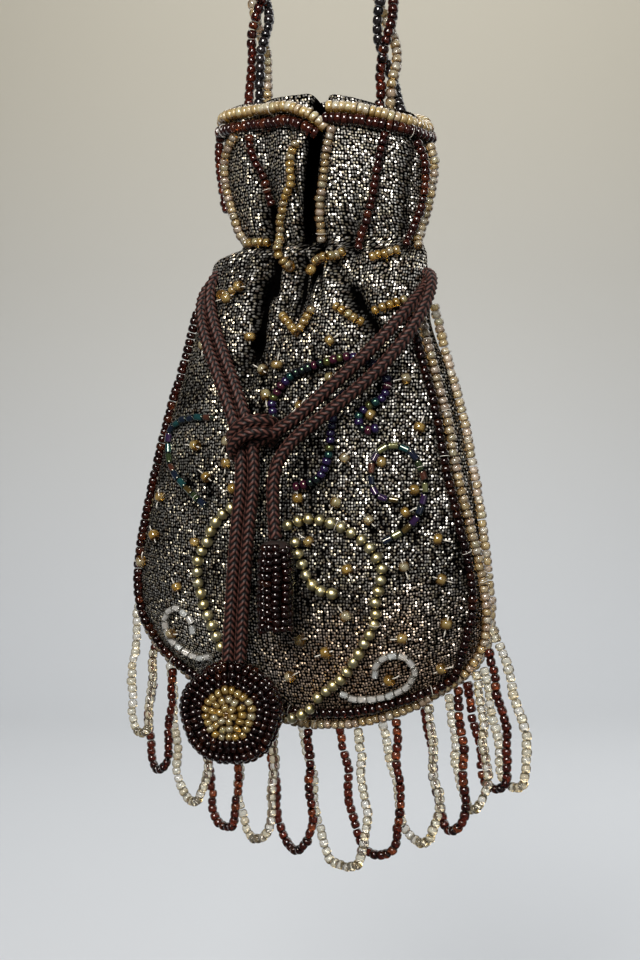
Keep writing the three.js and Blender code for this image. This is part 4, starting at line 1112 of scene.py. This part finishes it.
@dataclass
class Seam:
    """The side and bottom seam, and the strings and fringe loops that hang on it."""

    shape: PouchForm
    side_rows: tuple[float, ...] = (51, 64, 78, 92, 106, 117)
    corner_rows: tuple[float, ...] = (129, 138)
    row_shares: tuple[float, ...] = (-0.9, -0.75, -0.5, -0.25, 0, 0.25, 0.5, 0.75, 0.9)
    places: tuple[float, ...] = (-58, -51, -44, -37, -26, -13, 0, 13, 26, 37, 44, 51, 58)
    brown_row: float = 150.2
    last_row: float = 147.0
    side_share: float = 0.68
    side_turn: tuple[float, float] = (92, 124)
    seam_turn: tuple[float, float] = (40, 75)
    layer: float = 2.5  # how far a fringe leg hangs behind or in front of the seam
    loop_half: float = 4.2  # least half width of a fringe loop
    gap: float = -0.15  # clearance under a seam string, which is pressed in a little
    sway: float = 0.4
    sway_length: float = 15.0

    def __post_init__(self) -> None:
        """Works out the seam's line: left side down, bottom, right side up."""
        rows = np.array([*self.side_rows, *self.corner_rows, self.last_row])
        shares = np.linspace(-1, 1, 21)
        bottom = self.at(shares, np.full(21, self.shape.height))
        left, right = self.at(np.full(len(rows), -1.0), rows), self.at(np.full(len(rows), 1.0), rows)
        self.line = smooth(np.vstack([left, bottom, right[::-1]]), 16)
        self.length = run_along(self.line)[-1]

    def at(self, c: Array, down: Array) -> Array:
        """Points on the seam's middle plane at shares of the half width."""
        x = self.shape.across_at(c, down)
        return np.stack([x, np.zeros_like(x), self.shape.level(c, down)], axis=-1)

    @property
    def lift(self) -> float:
        """Height of a seam string's middle over the cloth."""
        return 0.5 * Bead.SEED.diameter + self.gap

    def outside(self, distance: Array, lift: Array | float, y: Array | float) -> Array:
        """Points outside the seam at distances from its lowest point."""
        middle = 0.5 * self.length + np.asarray(distance, float)
        tangent = unit(at_distance(self.line, middle + 0.5) - at_distance(self.line, middle - 0.5))
        out = np.stack([tangent[..., 2], np.zeros_like(tangent[..., 0]), -tangent[..., 0]], axis=-1)
        points = at_distance(self.line, middle) + np.asarray(lift)[..., None] * out
        points[..., 1] = y
        return points

    def on_side(self, c: float, y: Array | float, down: Array) -> Array:
        """Points on the side of the pouch, some way in front of the seam or behind it."""
        y = np.broadcast_to(np.asarray(y, float), down.shape)
        depth = np.where(y < 0, self.shape.column("front", down), self.shape.column("back", down))
        share = np.minimum(np.abs(y) / depth, self.side_share) ** (self.shape.power / 2)
        around = -np.sign(y) * np.arcsin(share)
        turn = around if c > 0 else math.pi - around
        return self.shape.wall(turn, down) + self.lift * self.shape.normal(turn, down, 0.0)

    def edge(self, left: float, right: float, right_low: float, bottom: float | None) -> Array:
        """Seam string: down the left side, along the bottom and up the right side.

        Args:
            left: how far in front of the seam it runs on the left, negative in front.
            right: the same high on the right.
            right_low: the same low on the right.
            bottom: the same along the bottom, or None where it lies on a row of the front.

        Returns:
            The string's line.
        """
        rows = np.array(self.side_rows + (self.corner_rows if bottom is None else ()), float)
        right_y = right + (right_low - right) * smoothstep(*self.side_turn, rows)
        sides = [self.on_side(-1, left, rows), self.on_side(1, right_y, rows)[::-1]]
        if bottom is None:
            down = np.full(len(self.row_shares), self.brown_row)
            across = self.shape.across_at(np.array(self.row_shares), down)
            low = self.shape.above(self.shape.turn_at(across, down), down, self.lift)
        else:
            distance = np.array(self.places, float)
            share = smoothstep(*self.seam_turn, np.abs(distance))
            side = np.where(distance < 0, left, right_low)
            lift = np.full(len(distance), self.lift)
            low = self.outside(distance, lift, bottom + (side - bottom) * share)
        return smooth(np.vstack([sides[0], low, sides[1]]), 12)

    def leg_top(self, distance: float, y: float) -> Array:
        """Top of a fringe leg, tucked in under the seam strings."""
        ahead = at_distance(self.line, np.array([distance - 0.5, distance + 0.5]) + 0.5 * self.length)
        climb = abs(unit(ahead[1] - ahead[0])[2])
        lift = 0.9 * Bead.SEED.diameter + 0.25 * climb * Bead.SEED.diameter
        return self.outside(np.array([distance]), np.array([lift]), y)[0]

    def loop(self, start: float, end: float, hang: float, swing: float) -> Array:
        """One fringe loop: its left leg hangs behind and its right leg in front."""
        a, b = self.leg_top(start, self.layer), self.leg_top(end, -self.layer)
        foot = 0.5 * (a[2] + b[2]) - hang
        middle = 0.5 * (a[0] + b[0]) + swing
        half = max(self.loop_half, 0.42 * (b[0] - a[0]))
        near, far = 0.4 * a[0] + 0.6 * (middle - half), 0.4 * b[0] + 0.6 * (middle + half)
        points = [
            a, (near, self.layer, a[2] + 0.4 * (foot - a[2])), (middle - half, self.layer, foot + 8),
            (middle - 0.62 * half, 0.75 * self.layer, foot + 1.6), (middle, 0, foot),
            (middle + 0.62 * half, -0.75 * self.layer, foot + 1.6), (middle + half, -self.layer, foot + 8),
            (far, -self.layer, b[2] + 0.4 * (foot - b[2])), b,
        ]
        line = smooth(np.array(points, float), 12)
        run = run_along(line)
        fade = smoothstep(2, 9, np.minimum(run, run[-1] - run))
        line[:, 0] += self.sway * fade * np.sin(TAU * run / self.sway_length + RNG.uniform(0, TAU))
        return line


@dataclass
class SeamTrim:
    """Bead strings along the seam and the looped fringe below it."""

    seam: Seam
    fringe: tuple[tuple[float, float, float, float], ...] = (
        (-59, -45.5, 29, -1.5), (-48.5, -38.5, 30.5, -1.5), (-43, -28, 33, 1.5), (-31, -18.5, 33, 1.2),
        (-21, -8, 31.8, 0), (-12.5, 0.5, 31.8, 2.2), (-3, 13.5, 34.4, 3.5), (7, 23.5, 32, 2),
        (18, 32, 31, 3.4), (29, 40.5, 32, 2.6), (36, 46, 30, 2.5), (41.5, 51, 29, 4), (46.5, 56, 33, 6),
    )  # each loop's two ends along the seam, how far it hangs and how far it swings to the right
    brown_edge: tuple[float, float, float, None] = (-4.2, -7.4, -4.7, None)
    gold_edges: tuple[tuple[float, float, float, float], ...] = (
        (0.9, -5.6, -2.2, -1.5), (4.4, 1.4, 1.8, 1.5),
    )
    loose: float = 0.08

    def build(self, palette: Palette) -> list[tuple[Array, float]]:
        """Strings and loops as pieces.

        Returns:
            The strings' lines and radii, for the stitches.
        """
        seed, hang = Bead.EDGE, Bead.HANG
        brown = self.seam.edge(*self.brown_edge)
        gold = [self.seam.edge(*row) for row in self.gold_edges]
        seed.threaded([brown]).put("edge_brown_beads", palette.deep, "brown_bead", ["edge_brown_front"])
        nodes = ["edge_gold_front", "edge_gold_back"]
        seed.threaded(gold).put("edge_gold_beads", palette.amber, "gold_bead", nodes)
        loops = [self.seam.loop(*row) for row in self.fringe]
        names = [f"fringe_loop_{k + 1:02d}" for k in range(len(loops))]
        for k, (tone, finish) in enumerate((("gold", palette.champagne), ("brown", palette.brown))):
            beads = hang.threaded(loops[k::2], self.loose)
            beads.put(f"fringe_{tone}_beads", finish, f"{tone}_bead", names[k::2])
        return [(line, 0.5 * seed.diameter) for line in (brown, *gold)]


@dataclass
class SmallWork:
    """Single beads scattered on the front, their thread ends, and the stitches that hold the strings."""

    shape: PouchForm
    thread: float = 0.075  # radius
    pitch: float = 26.0  # mean distance between stitches along a string
    clear: float = 0.12  # clearance of a stitch over its bead
    lift: float = 1.05  # height of a scattered bead's middle

    def stitches(self, sewn: Sequence[tuple[Array, float]]) -> list[Form]:
        """Thread arcs over the strings: half circles square to each string, a little skewed."""
        forms = []
        pitch = self.pitch
        angle = np.linspace(-0.1 * math.pi, 1.1 * math.pi, 7)
        for line, radius in sewn:
            run = run_along(line)[-1]
            spots = np.cumsum(RNG.uniform(0.5 * pitch, 1.6 * pitch, int(run / pitch) + 2))
            for spot in spots[spots < run - 2]:
                here, ahead = at_distance(line, np.array([spot, spot + 0.6]))
                along = unit(ahead - here)
                out = unit(here - np.array([2, 0, here[2]]))
                side = unit(np.cross(along, out))
                skew = RNG.uniform(-0.25, 0.25) * along
                wide = radius + self.clear
                reach = wide * np.cos(angle)[:, None] * (side + skew)
                arc = here + reach + wide * np.sin(angle)[:, None] * unit(np.cross(side, along))
                forms.append(Form.tube(arc, self.thread, 5, along))
        return forms

    def build(self, palette: Palette, sewn: Sequence[tuple[Array, float]]) -> None:
        """The scattered beads, their thread ends and the stitches as pieces."""
        across, down = np.array([*SCATTERED, *FACING], float).T
        turn = self.shape.turn_at(across, down)
        normal = self.shape.normal(turn, down, self.shape.bridge)
        centres = self.shape.above(turn, down, self.lift)
        lie = unit(np.cross(normal, unit(RNG.normal(0, 1, normal.shape))))
        lie[-len(FACING):] = normal[-len(FACING):]
        Bead.SINGLE.placed(centres, lie, 0.1).put("scattered_beads", palette.honey, "gold_bead")
        reach = np.linspace(0.9, 2.9, 4)[:, None]
        rise = np.array([[0], [0.3], [0.4], [0.3]])
        ends = [
            Form.tube(c + way * reach * a + rise * n, 2.0 * self.thread, 5, n)
            for way in (1.0, -0.7) for c, a, n in zip(centres[:len(SCATTERED)], lie, normal)
        ]
        ends += self.stitches(sewn)
        Form.joined(ends).put("thread_ends", palette.thread, "gold_bead")


@dataclass
class Strap:
    """Three bead strands twisted round one route, side by side where they enter the mouth."""

    twist: float = 2.2  # radius of the twist
    turns: float = 10.5
    left_foot: float = 0.045  # share of the strap that eases into the mouth
    right_foot: float = 0.018
    slot: float = 2.9  # distance between strands at the feet
    route: Spots = (
        (-14.2, 3.0, -203), (-13.8, 3.0, -190), (-12.8, 2.5, -150), (-10.8, 1.5, -90), (-8.6, 0.6, -40),
        (-6.4, 0, -13), (0, 0, 0), (6.8, 0, -13), (10.2, 0.6, -40), (14.2, 1.5, -90), (18.2, 2.5, -150),
        (20.9, 3.2, -190), (21.4, 3.4, -204),
    )

    def strand(self, phase: float, left: int, right: int) -> Array:
        """One strand: a helix round the route that eases into its own slot at both feet."""
        line = smooth(np.array(self.route, float), 40)
        u = np.linspace(0, 1, 700)
        middle = at_distance(line, u * run_along(line)[-1])
        tangent = unit(np.gradient(middle, axis=0))
        side = unit(np.stack([tangent[:, 2], np.zeros(len(u)), -tangent[:, 0]], axis=1))
        eased = smoothstep(0, self.left_foot, u) * smoothstep(0, self.right_foot, 1 - u)
        twisted = np.clip((u - self.left_foot) / (1 - self.left_foot - self.right_foot), 0, 1)
        angle = math.radians(phase) + TAU * self.turns * twisted
        flat = np.where(u < 0.5, left, right) * self.slot
        across = flat + (self.twist * np.cos(angle) - flat) * eased
        points = middle + side * across[:, None]
        points[:, 1] += eased * self.twist * np.sin(angle)
        return points

    def build(self, palette: Palette) -> None:
        """The three strands as pieces."""
        for name, finish, phase, left, right in (
            ("brown", palette.brown, 180.0, -1, 1), ("dark", palette.dark, 300.0, 0, -1),
            ("gold", palette.amber, 60.0, 1, 0),
        ):
            beads = Bead.LARGE.threaded([self.strand(phase, left, right)], 0.04)
            beads.put(f"strap_{name}_beads", finish, f"{name}_bead", [f"strap_{name}_strand"])


@dataclass
class Braid:
    """A braided cord: slanted stitches that meet in columns of V shapes along a tube."""

    diameter: float = 3.15
    stitch: float = 1.6
    columns: int = 3
    sides: int = 30
    step: float = 0.22

    def form(self, line: Array) -> Form:
        """Tube whose radius follows the stitches.

        The radius is 0.86 to 1.02 of the cord's. A zigzag round the cord shifts a wave along it, so that
        the crests make V shapes, and a groove runs where two slants meet.

        Args:
            line: the cord's middle line in millimetres.

        Returns:
            The tube, with the height of each stitch as the value "ridge".
        """
        run = run_along(line)[-1]
        count = int(run / self.step)
        along = np.linspace(0, run, count)
        middle = at_distance(line, along)
        angle = np.arange(self.sides) / self.sides
        zigzag = np.abs(2 * ((self.columns * angle) % 1) - 1)
        wave = 0.5 + 0.5 * np.cos(TAU * (along[:, None] / self.stitch - 0.95 * zigzag[None]))
        groove = 1 - np.abs(2 * zigzag - 1)[None] ** 6
        ridge = wave**0.7 * (0.35 + 0.65 * groove)
        form = Form.tube(middle, 0.5 * self.diameter * (0.76 + 0.25 * ridge), self.sides, (0.05, -1, 0.1))
        form.values["ridge"] = np.concatenate([ridge.ravel(), [0.2, 0.2]])
        return form


@dataclass
class Drawstring:
    """Two pairs of cords from the casing, knotted in front, with tails to the rosette and the tassel."""

    braid: Braid = field(default_factory=Braid)
    stack: tuple[float, float, float] = (-0.37, 0.93, 0)  # the way a pair is stacked at the casing
    turn: float = 3.0  # points of the route over which a pair turns to lie side by side
    ease: float = 3.9  # reach of the rounding of bends
    knot: tuple[float, float, float] = (-4.2, -21.5, -284.2)
    wrap: Spots = (
        (2.4, 3.0, 0.6), (4.4, 1.4, 2.2), (4.2, -1.4, 3.0), (1.2, -3.5, 3.0), (-2.4, -3.4, 1.5),
        (-4.9, -1.4, -1.0), (-4.6, 1.4, -2.8), (-2.0, 3.2, -3.2),
    )
    wrap_spacing: float = 2.75
    left: Spots = (
        (-22.6, -4.8, -242.2), (-23.6, -7.4, -245.2), (-23.2, -9.6, -249.5), (-20.6, -12.6, -256.2),
        (-16.2, -15.8, -264.2), (-11.8, -18.8, -272), (-8.6, -20.9, -278),
    )
    left_casing: Spots = ((-14.5, 2.2, -241.4), (-19.2, -1.2, -241.0))
    left_gaps: tuple[float, ...] = (3.3,) * 7
    right: Spots = (
        (33.0, -1.4, -244.6), (34.2, -5.0, -247.0), (33.6, -9.6, -251.4), (30.8, -14.4, -258),
        (25.2, -18, -265.6), (16.4, -20.6, -273.8), (6.6, -22.2, -281.8),
    )
    right_casing: Spots = ((24.6, 4.4, -243.8), (29.6, 1.8, -243.6))
    right_gaps: tuple[float, ...] = (3.3, 3.3, 3.5, 4.2, 4.8, 4.6, 3.6)
    rosette_tails: tuple[Spots, Spots] = (
        ((-7.4, -21.2, -289.2), (-9.1, -21, -306), (-10.6, -20.4, -322), (-12, -19.4, -337.2)),
        ((-4.2, -21.2, -289.3), (-5.9, -21, -306), (-7.4, -20.4, -322), (-8.8, -19.4, -337.2)),
    )
    tassel_tail: Spots = ((3.0, -22.4, -287.4), (0.9, -22.3, -294), (1.1, -22.4, -300), (1.9, -22.6, -307.6))
    lean: float = 0.6  # how far a pair parts inside the casing, as a share of half its gap
    stop: tuple[float, float, float] = (-1.0, 0.6, -1.2)  # from the knot to the cord that ends in it

    def beside(self, route: Spots, offset: Array) -> Array:
        """One cord of a pair: one behind the other at the casing, then side by side facing the front."""
        points = np.array(route, float)
        steps = [points[1:2] - points[:1], points[2:] - points[:-2], points[-1:] - points[-2:-1]]
        along = unit(np.vstack(steps))
        flat = unit(np.stack([-along[:, 2], np.zeros(len(points)), along[:, 0]], axis=1))
        stack = np.array(self.stack)
        behind = unit(stack - (along @ stack)[:, None] * along)
        behind = np.where(np.sum(behind * flat, axis=1, keepdims=True) < 0, -behind, behind)
        share = smoothstep(0, self.turn, np.arange(len(points)))[:, None]
        return points + offset[:, None] * unit(behind + (flat - behind) * share)

    def routes(self) -> dict[str, Array]:
        """Middle line of each cord from inside the casing through the knot to its end."""
        near, far = 0.5 * np.array(self.left_gaps), 0.5 * np.array(self.right_gaps)
        lean = np.array([0, self.lean * near[0], self.lean * near[0]])
        tail_1, tail_2 = (np.array(tail, float) for tail in self.rosette_tails)
        left, right = np.array(self.left_casing), np.array(self.right_casing)
        stop = np.array(self.knot) + np.array([self.stop])
        tail = np.array(self.tassel_tail)
        return {
            "left_1": np.vstack([left + lean, self.beside(self.left, near), tail_2]),
            "left_2": np.vstack([left - lean, self.beside(self.left, -near), tail_1]),
            "right_1": np.vstack([right - lean, self.beside(self.right, far)[:-1], tail]),
            "right_2": np.vstack([right + lean, self.beside(self.right, -far), stop]),
        }

    def knot_lines(self) -> list[Array]:
        """Wraps of the knot: two cords side by side over its front, from upper right to lower left."""
        middle = smooth(np.array(self.knot) + np.array(self.wrap), 16)
        lift = np.array([0, 0, 0.5 * self.wrap_spacing])
        return [middle + lift, middle - lift]

    def build(self, palette: Palette, rosette: Sequence[Any], tassel: Sequence[Any]) -> None:
        """Cords and knot as pieces."""
        wraps = Form.joined([self.braid.form(line) for line in self.knot_lines()])
        knot = wraps.put("drawstring_knot_wraps", palette.cord, "cord", ["drawstring_knot"])
        ends = {
            "left_1": ("fitting", rosette, ["drawstring_left_1", "tail_rosette_2"]),
            "left_2": ("fitting", rosette, ["drawstring_left_2", "tail_rosette_1"]),
            "right_1": ("fitting", tassel, ["drawstring_right_1", "tail_tassel"]),
            "right_2": ("knot", [knot], ["drawstring_right_2"]),
        }
        for name, route in self.routes().items():
            line = rounded(smooth(route, 16), self.ease)
            far_end, pieces, nodes = ends[name]
            piece = self.braid.form(line).put(f"drawstring_{name}_cord", palette.cord, "cord", nodes)


@dataclass
class Rosette:
    """Coiled bead rosette on the cords' ends: brown rings round a domed gold heart."""

    centre: tuple[float, float, float] = (-11.9, -18.4, -350.0)
    turned: float = 14.0  # degrees that it faces to the right of the front
    brown_rings: Rows = ((11.7, -1.3), (11.0, 0.6), (9.0, 0.1), (7.4, 1.0))
    gold_rings: Rows = ((5.6, 1.7), (3.6, 2.9), (1.7, 3.5))
    back: Rows = (
        (0, -3.2), (10.2, -3.2), (11.2, -2.2), (11.0, -0.6), (8.6, -0.1), (7.4, -1.2), (6.2, 0.4), (4.0, 1.8),
        (1.8, 2.6), (0, 2.8),
    )
    crowding: float = 1.04  # pitch of the beads round a ring, as a share of their length
    scallop: float = 0.25
    tip: float = 4.0  # height of the single bead in the middle

    def facing(self, local: Array) -> Array:
        """Directions given as right, up and out of the rosette, in the bag's frame."""
        a = math.radians(self.turned)
        axes = np.array([[math.cos(a), math.sin(a), 0], [0, 0, 1], [math.sin(a), -math.cos(a), 0]])
        return local @ axes

    def ring(self, radius: float, rise: float) -> tuple[Array, Array]:
        """Centres and axes of beads round one ring, a little scalloped."""
        count = round(TAU * radius / (Bead.SEED.length * self.crowding))
        angle = TAU * (np.arange(count) / count + RNG.uniform())
        wide = radius + self.scallop * np.sin(5 * angle)
        spots = np.stack([wide * np.cos(angle), wide * np.sin(angle), np.full(count, rise)], axis=1)
        axes = np.stack([-np.sin(angle), np.cos(angle), np.zeros(count)], axis=1)
        return np.array(self.centre) + self.facing(spots), self.facing(axes)

    def beads(self, rings: Rows) -> Form:
        """Beads of several rings."""
        spots, axes = zip(*(self.ring(radius, rise) for radius, rise in rings))
        return Bead.SEED.placed(np.concatenate(spots), np.concatenate(axes), 0.06)

    def build(self, palette: Palette) -> list[Piece]:
        """Rings, heart and backing as pieces."""
        brown = self.beads(self.brown_rings)
        rings = brown.put("rosette_ring_beads", palette.deep, "brown_bead", ["rosette_rings"])
        out = self.facing(np.array([[0, 0, 1.0]]))
        tip = Bead.SEED.placed(np.array(self.centre) + self.tip * out, out, 0.02)
        gold = Form.joined([self.beads(self.gold_rings), tip])
        heart = gold.put("rosette_heart_beads", palette.honey, "gold_bead", ["rosette_heart"])
        form = Form.revolved(self.back, 48)
        form.points = self.facing(form.points) + np.array(self.centre)
        backing = form.put("rosette_backing", palette.felt, "cord")
        return [rings, heart, backing]


@dataclass
class Tassel:
    """Bead strings round a dark core, bound at the top."""

    centre: tuple[float, float] = (2.0, -22.6)
    top: float = -308.2
    height: float = 22.0
    radius: float = 3.45
    strings: int = 11
    reach: tuple[float, ...] = (0.86, 1.0, 1.02, 0.98)  # shares of the radius down a string
    core: Rows = (
        (0, -21), (1.8, -20.6), (2.5, -19), (2.5, -3), (3.2, -2.6), (3.5, -1.4), (2.9, -0.3), (1.6, 0.2),
        (0, 0.3),
    )

    def build(self, palette: Palette) -> list[Piece]:
        """Strings, core and binding as pieces."""
        x, y = self.centre
        lines = []
        for turn in TAU * np.arange(self.strings) / self.strings:
            angle = turn + RNG.normal(0, 0.07, 4)
            reach = np.array(self.reach) * self.radius * RNG.normal(1, 0.045, 4)
            foot = self.height - RNG.uniform(0, 1.6)
            drop = np.linspace(1.4 - RNG.uniform(0, 1.2), foot, 4)
            line = np.stack([x + reach * np.cos(angle), y + reach * np.sin(angle), self.top - drop], axis=1)
            lines.append(smooth(line, 10))
        beads = Bead.SEED.threaded(lines, 0.05).put("tassel_beads", palette.deep, "brown_bead", ["tassel"])
        core = Form.revolved(self.core, 24)
        core.points = core.points + np.array([x, y, self.top])
        return [beads, core.put("tassel_core", palette.felt, "cord")]


@dataclass
class Studio:
    """Pale wall and floor, soft lights and the camera."""

    azimuth: float = 22.0
    target: tuple[float, float, float] = (0.00348, 0.00141, -0.29375)
    camera: tuple[float, float, float] = (0.13834, -0.33238, -0.29375)
    lens: float = 54.0
    floor: float = -0.52
    wall: float = 1.5  # distance behind the bag
    half: float = 2.6  # half width of the backdrop

    def backdrop(self) -> None:
        """Floor that rises through a quarter circle into the wall, square to the camera's view."""
        a = math.radians(self.azimuth)
        right, away = np.array([math.cos(a), math.sin(a), 0]), np.array([-math.sin(a), math.cos(a), 0])
        bend = np.linspace(0, 0.5 * math.pi, 13)
        depth = np.concatenate([[0.12], self.wall - 0.5 + 0.5 * np.sin(bend), [self.wall]])
        height = np.concatenate([[0], 0.5 - 0.5 * np.cos(bend), [2.4]]) + self.floor
        side = np.array([-self.half, self.half])
        up = np.array([0, 0, 1])
        grid = side[None, :, None] * right + depth[:, None, None] * away + height[:, None, None] * up
        rows = len(depth)
        r = 2 * np.arange(rows - 1)
        quads = np.stack([r, r + 1, r + 3, r + 2], axis=1)
        mesh = bpy.data.meshes.new("studio_backdrop")
        mesh.from_pydata(grid.reshape(-1, 3).tolist(), [], quads.tolist())
        mesh.polygons.foreach_set("use_smooth", np.full(len(quads), True))
        mesh.materials.append(WallFinish().paint())
        piece = bpy.data.objects.new("studio_backdrop", mesh)
        bpy.context.collection.objects.link(piece)

    def light(self, name: str, place: Sequence[float], aim: Sequence[float], size: float, power: float,
              colour: Sequence[float]) -> None:
        """One square soft light that faces a point."""
        data = bpy.data.lights.new(name, "AREA")
        data.size, data.energy, data.color = size, power, colour
        lamp = bpy.data.objects.new(name, data)
        lamp.location = place
        lamp.rotation_euler = (Vector(aim) - Vector(place)).to_track_quat("-Z", "Y").to_euler()
        bpy.context.collection.objects.link(lamp)

    def build(self) -> None:
        """Wall, lights, sky and camera."""
        self.backdrop()
        bag = (0, 0, -0.28)
        self.light("key", (0.08, -0.86, 0.12), bag, 0.42, 11.5, (1.0, 0.96, 0.91))
        self.light("fill", (0.85, -0.55, -0.25), bag, 0.7, 0.6, (0.93, 0.96, 1.0))
        self.light("back", (0.55, 0.65, 0.15), bag, 0.6, 2.5, (1.0, 0.98, 0.95))
        self.light("wall_wash", (-0.1, 0.55, 0.75), (-0.45, 1.4, -0.35), 0.9, 12.0, (1.0, 0.99, 0.97))
        world = bpy.data.worlds.new("soft_sky")
        world.use_nodes = True
        sky = world.node_tree.nodes["Background"]
        sky.inputs["Color"].default_value = (0.86, 0.89, 0.93, 1)
        sky.inputs["Strength"].default_value = 0.07
        bpy.context.scene.world = world
        bpy.context.scene.view_settings.view_transform = "Standard"
        data = bpy.data.cameras.new("camera")
        data.lens = self.lens
        data.sensor_width = 36.0
        data.clip_start = 0.01
        camera = bpy.data.objects.new("camera", data)
        camera.location = self.camera
        aim = Vector(self.target) - Vector(self.camera)
        camera.rotation_euler = aim.to_track_quat("-Z", "Y").to_euler()
        bpy.context.collection.objects.link(camera)
        bpy.context.scene.camera = camera


def main() -> None:
    """Builds the bag over its frame, piece by piece, and sets it in the studio."""
    logging.basicConfig(level=logging.INFO, format="%(name)s: %(message)s")
    Studio().build()
    palette = Palette.painted()
    shape = PouchForm()
    rosette = Rosette().build(palette)
    tassel = Tassel().build(palette)
    Drawstring().build(palette, rosette, tassel)
    Cloth(shape).build(palette)
    trim = Trim(shape)
    trim.build(palette)
    edges = SeamTrim(Seam(shape)).build(palette)
    SmallWork(shape).build(palette, trim.lines + edges)
    Strap().build(palette)


if __name__ == "__main__":
    main()
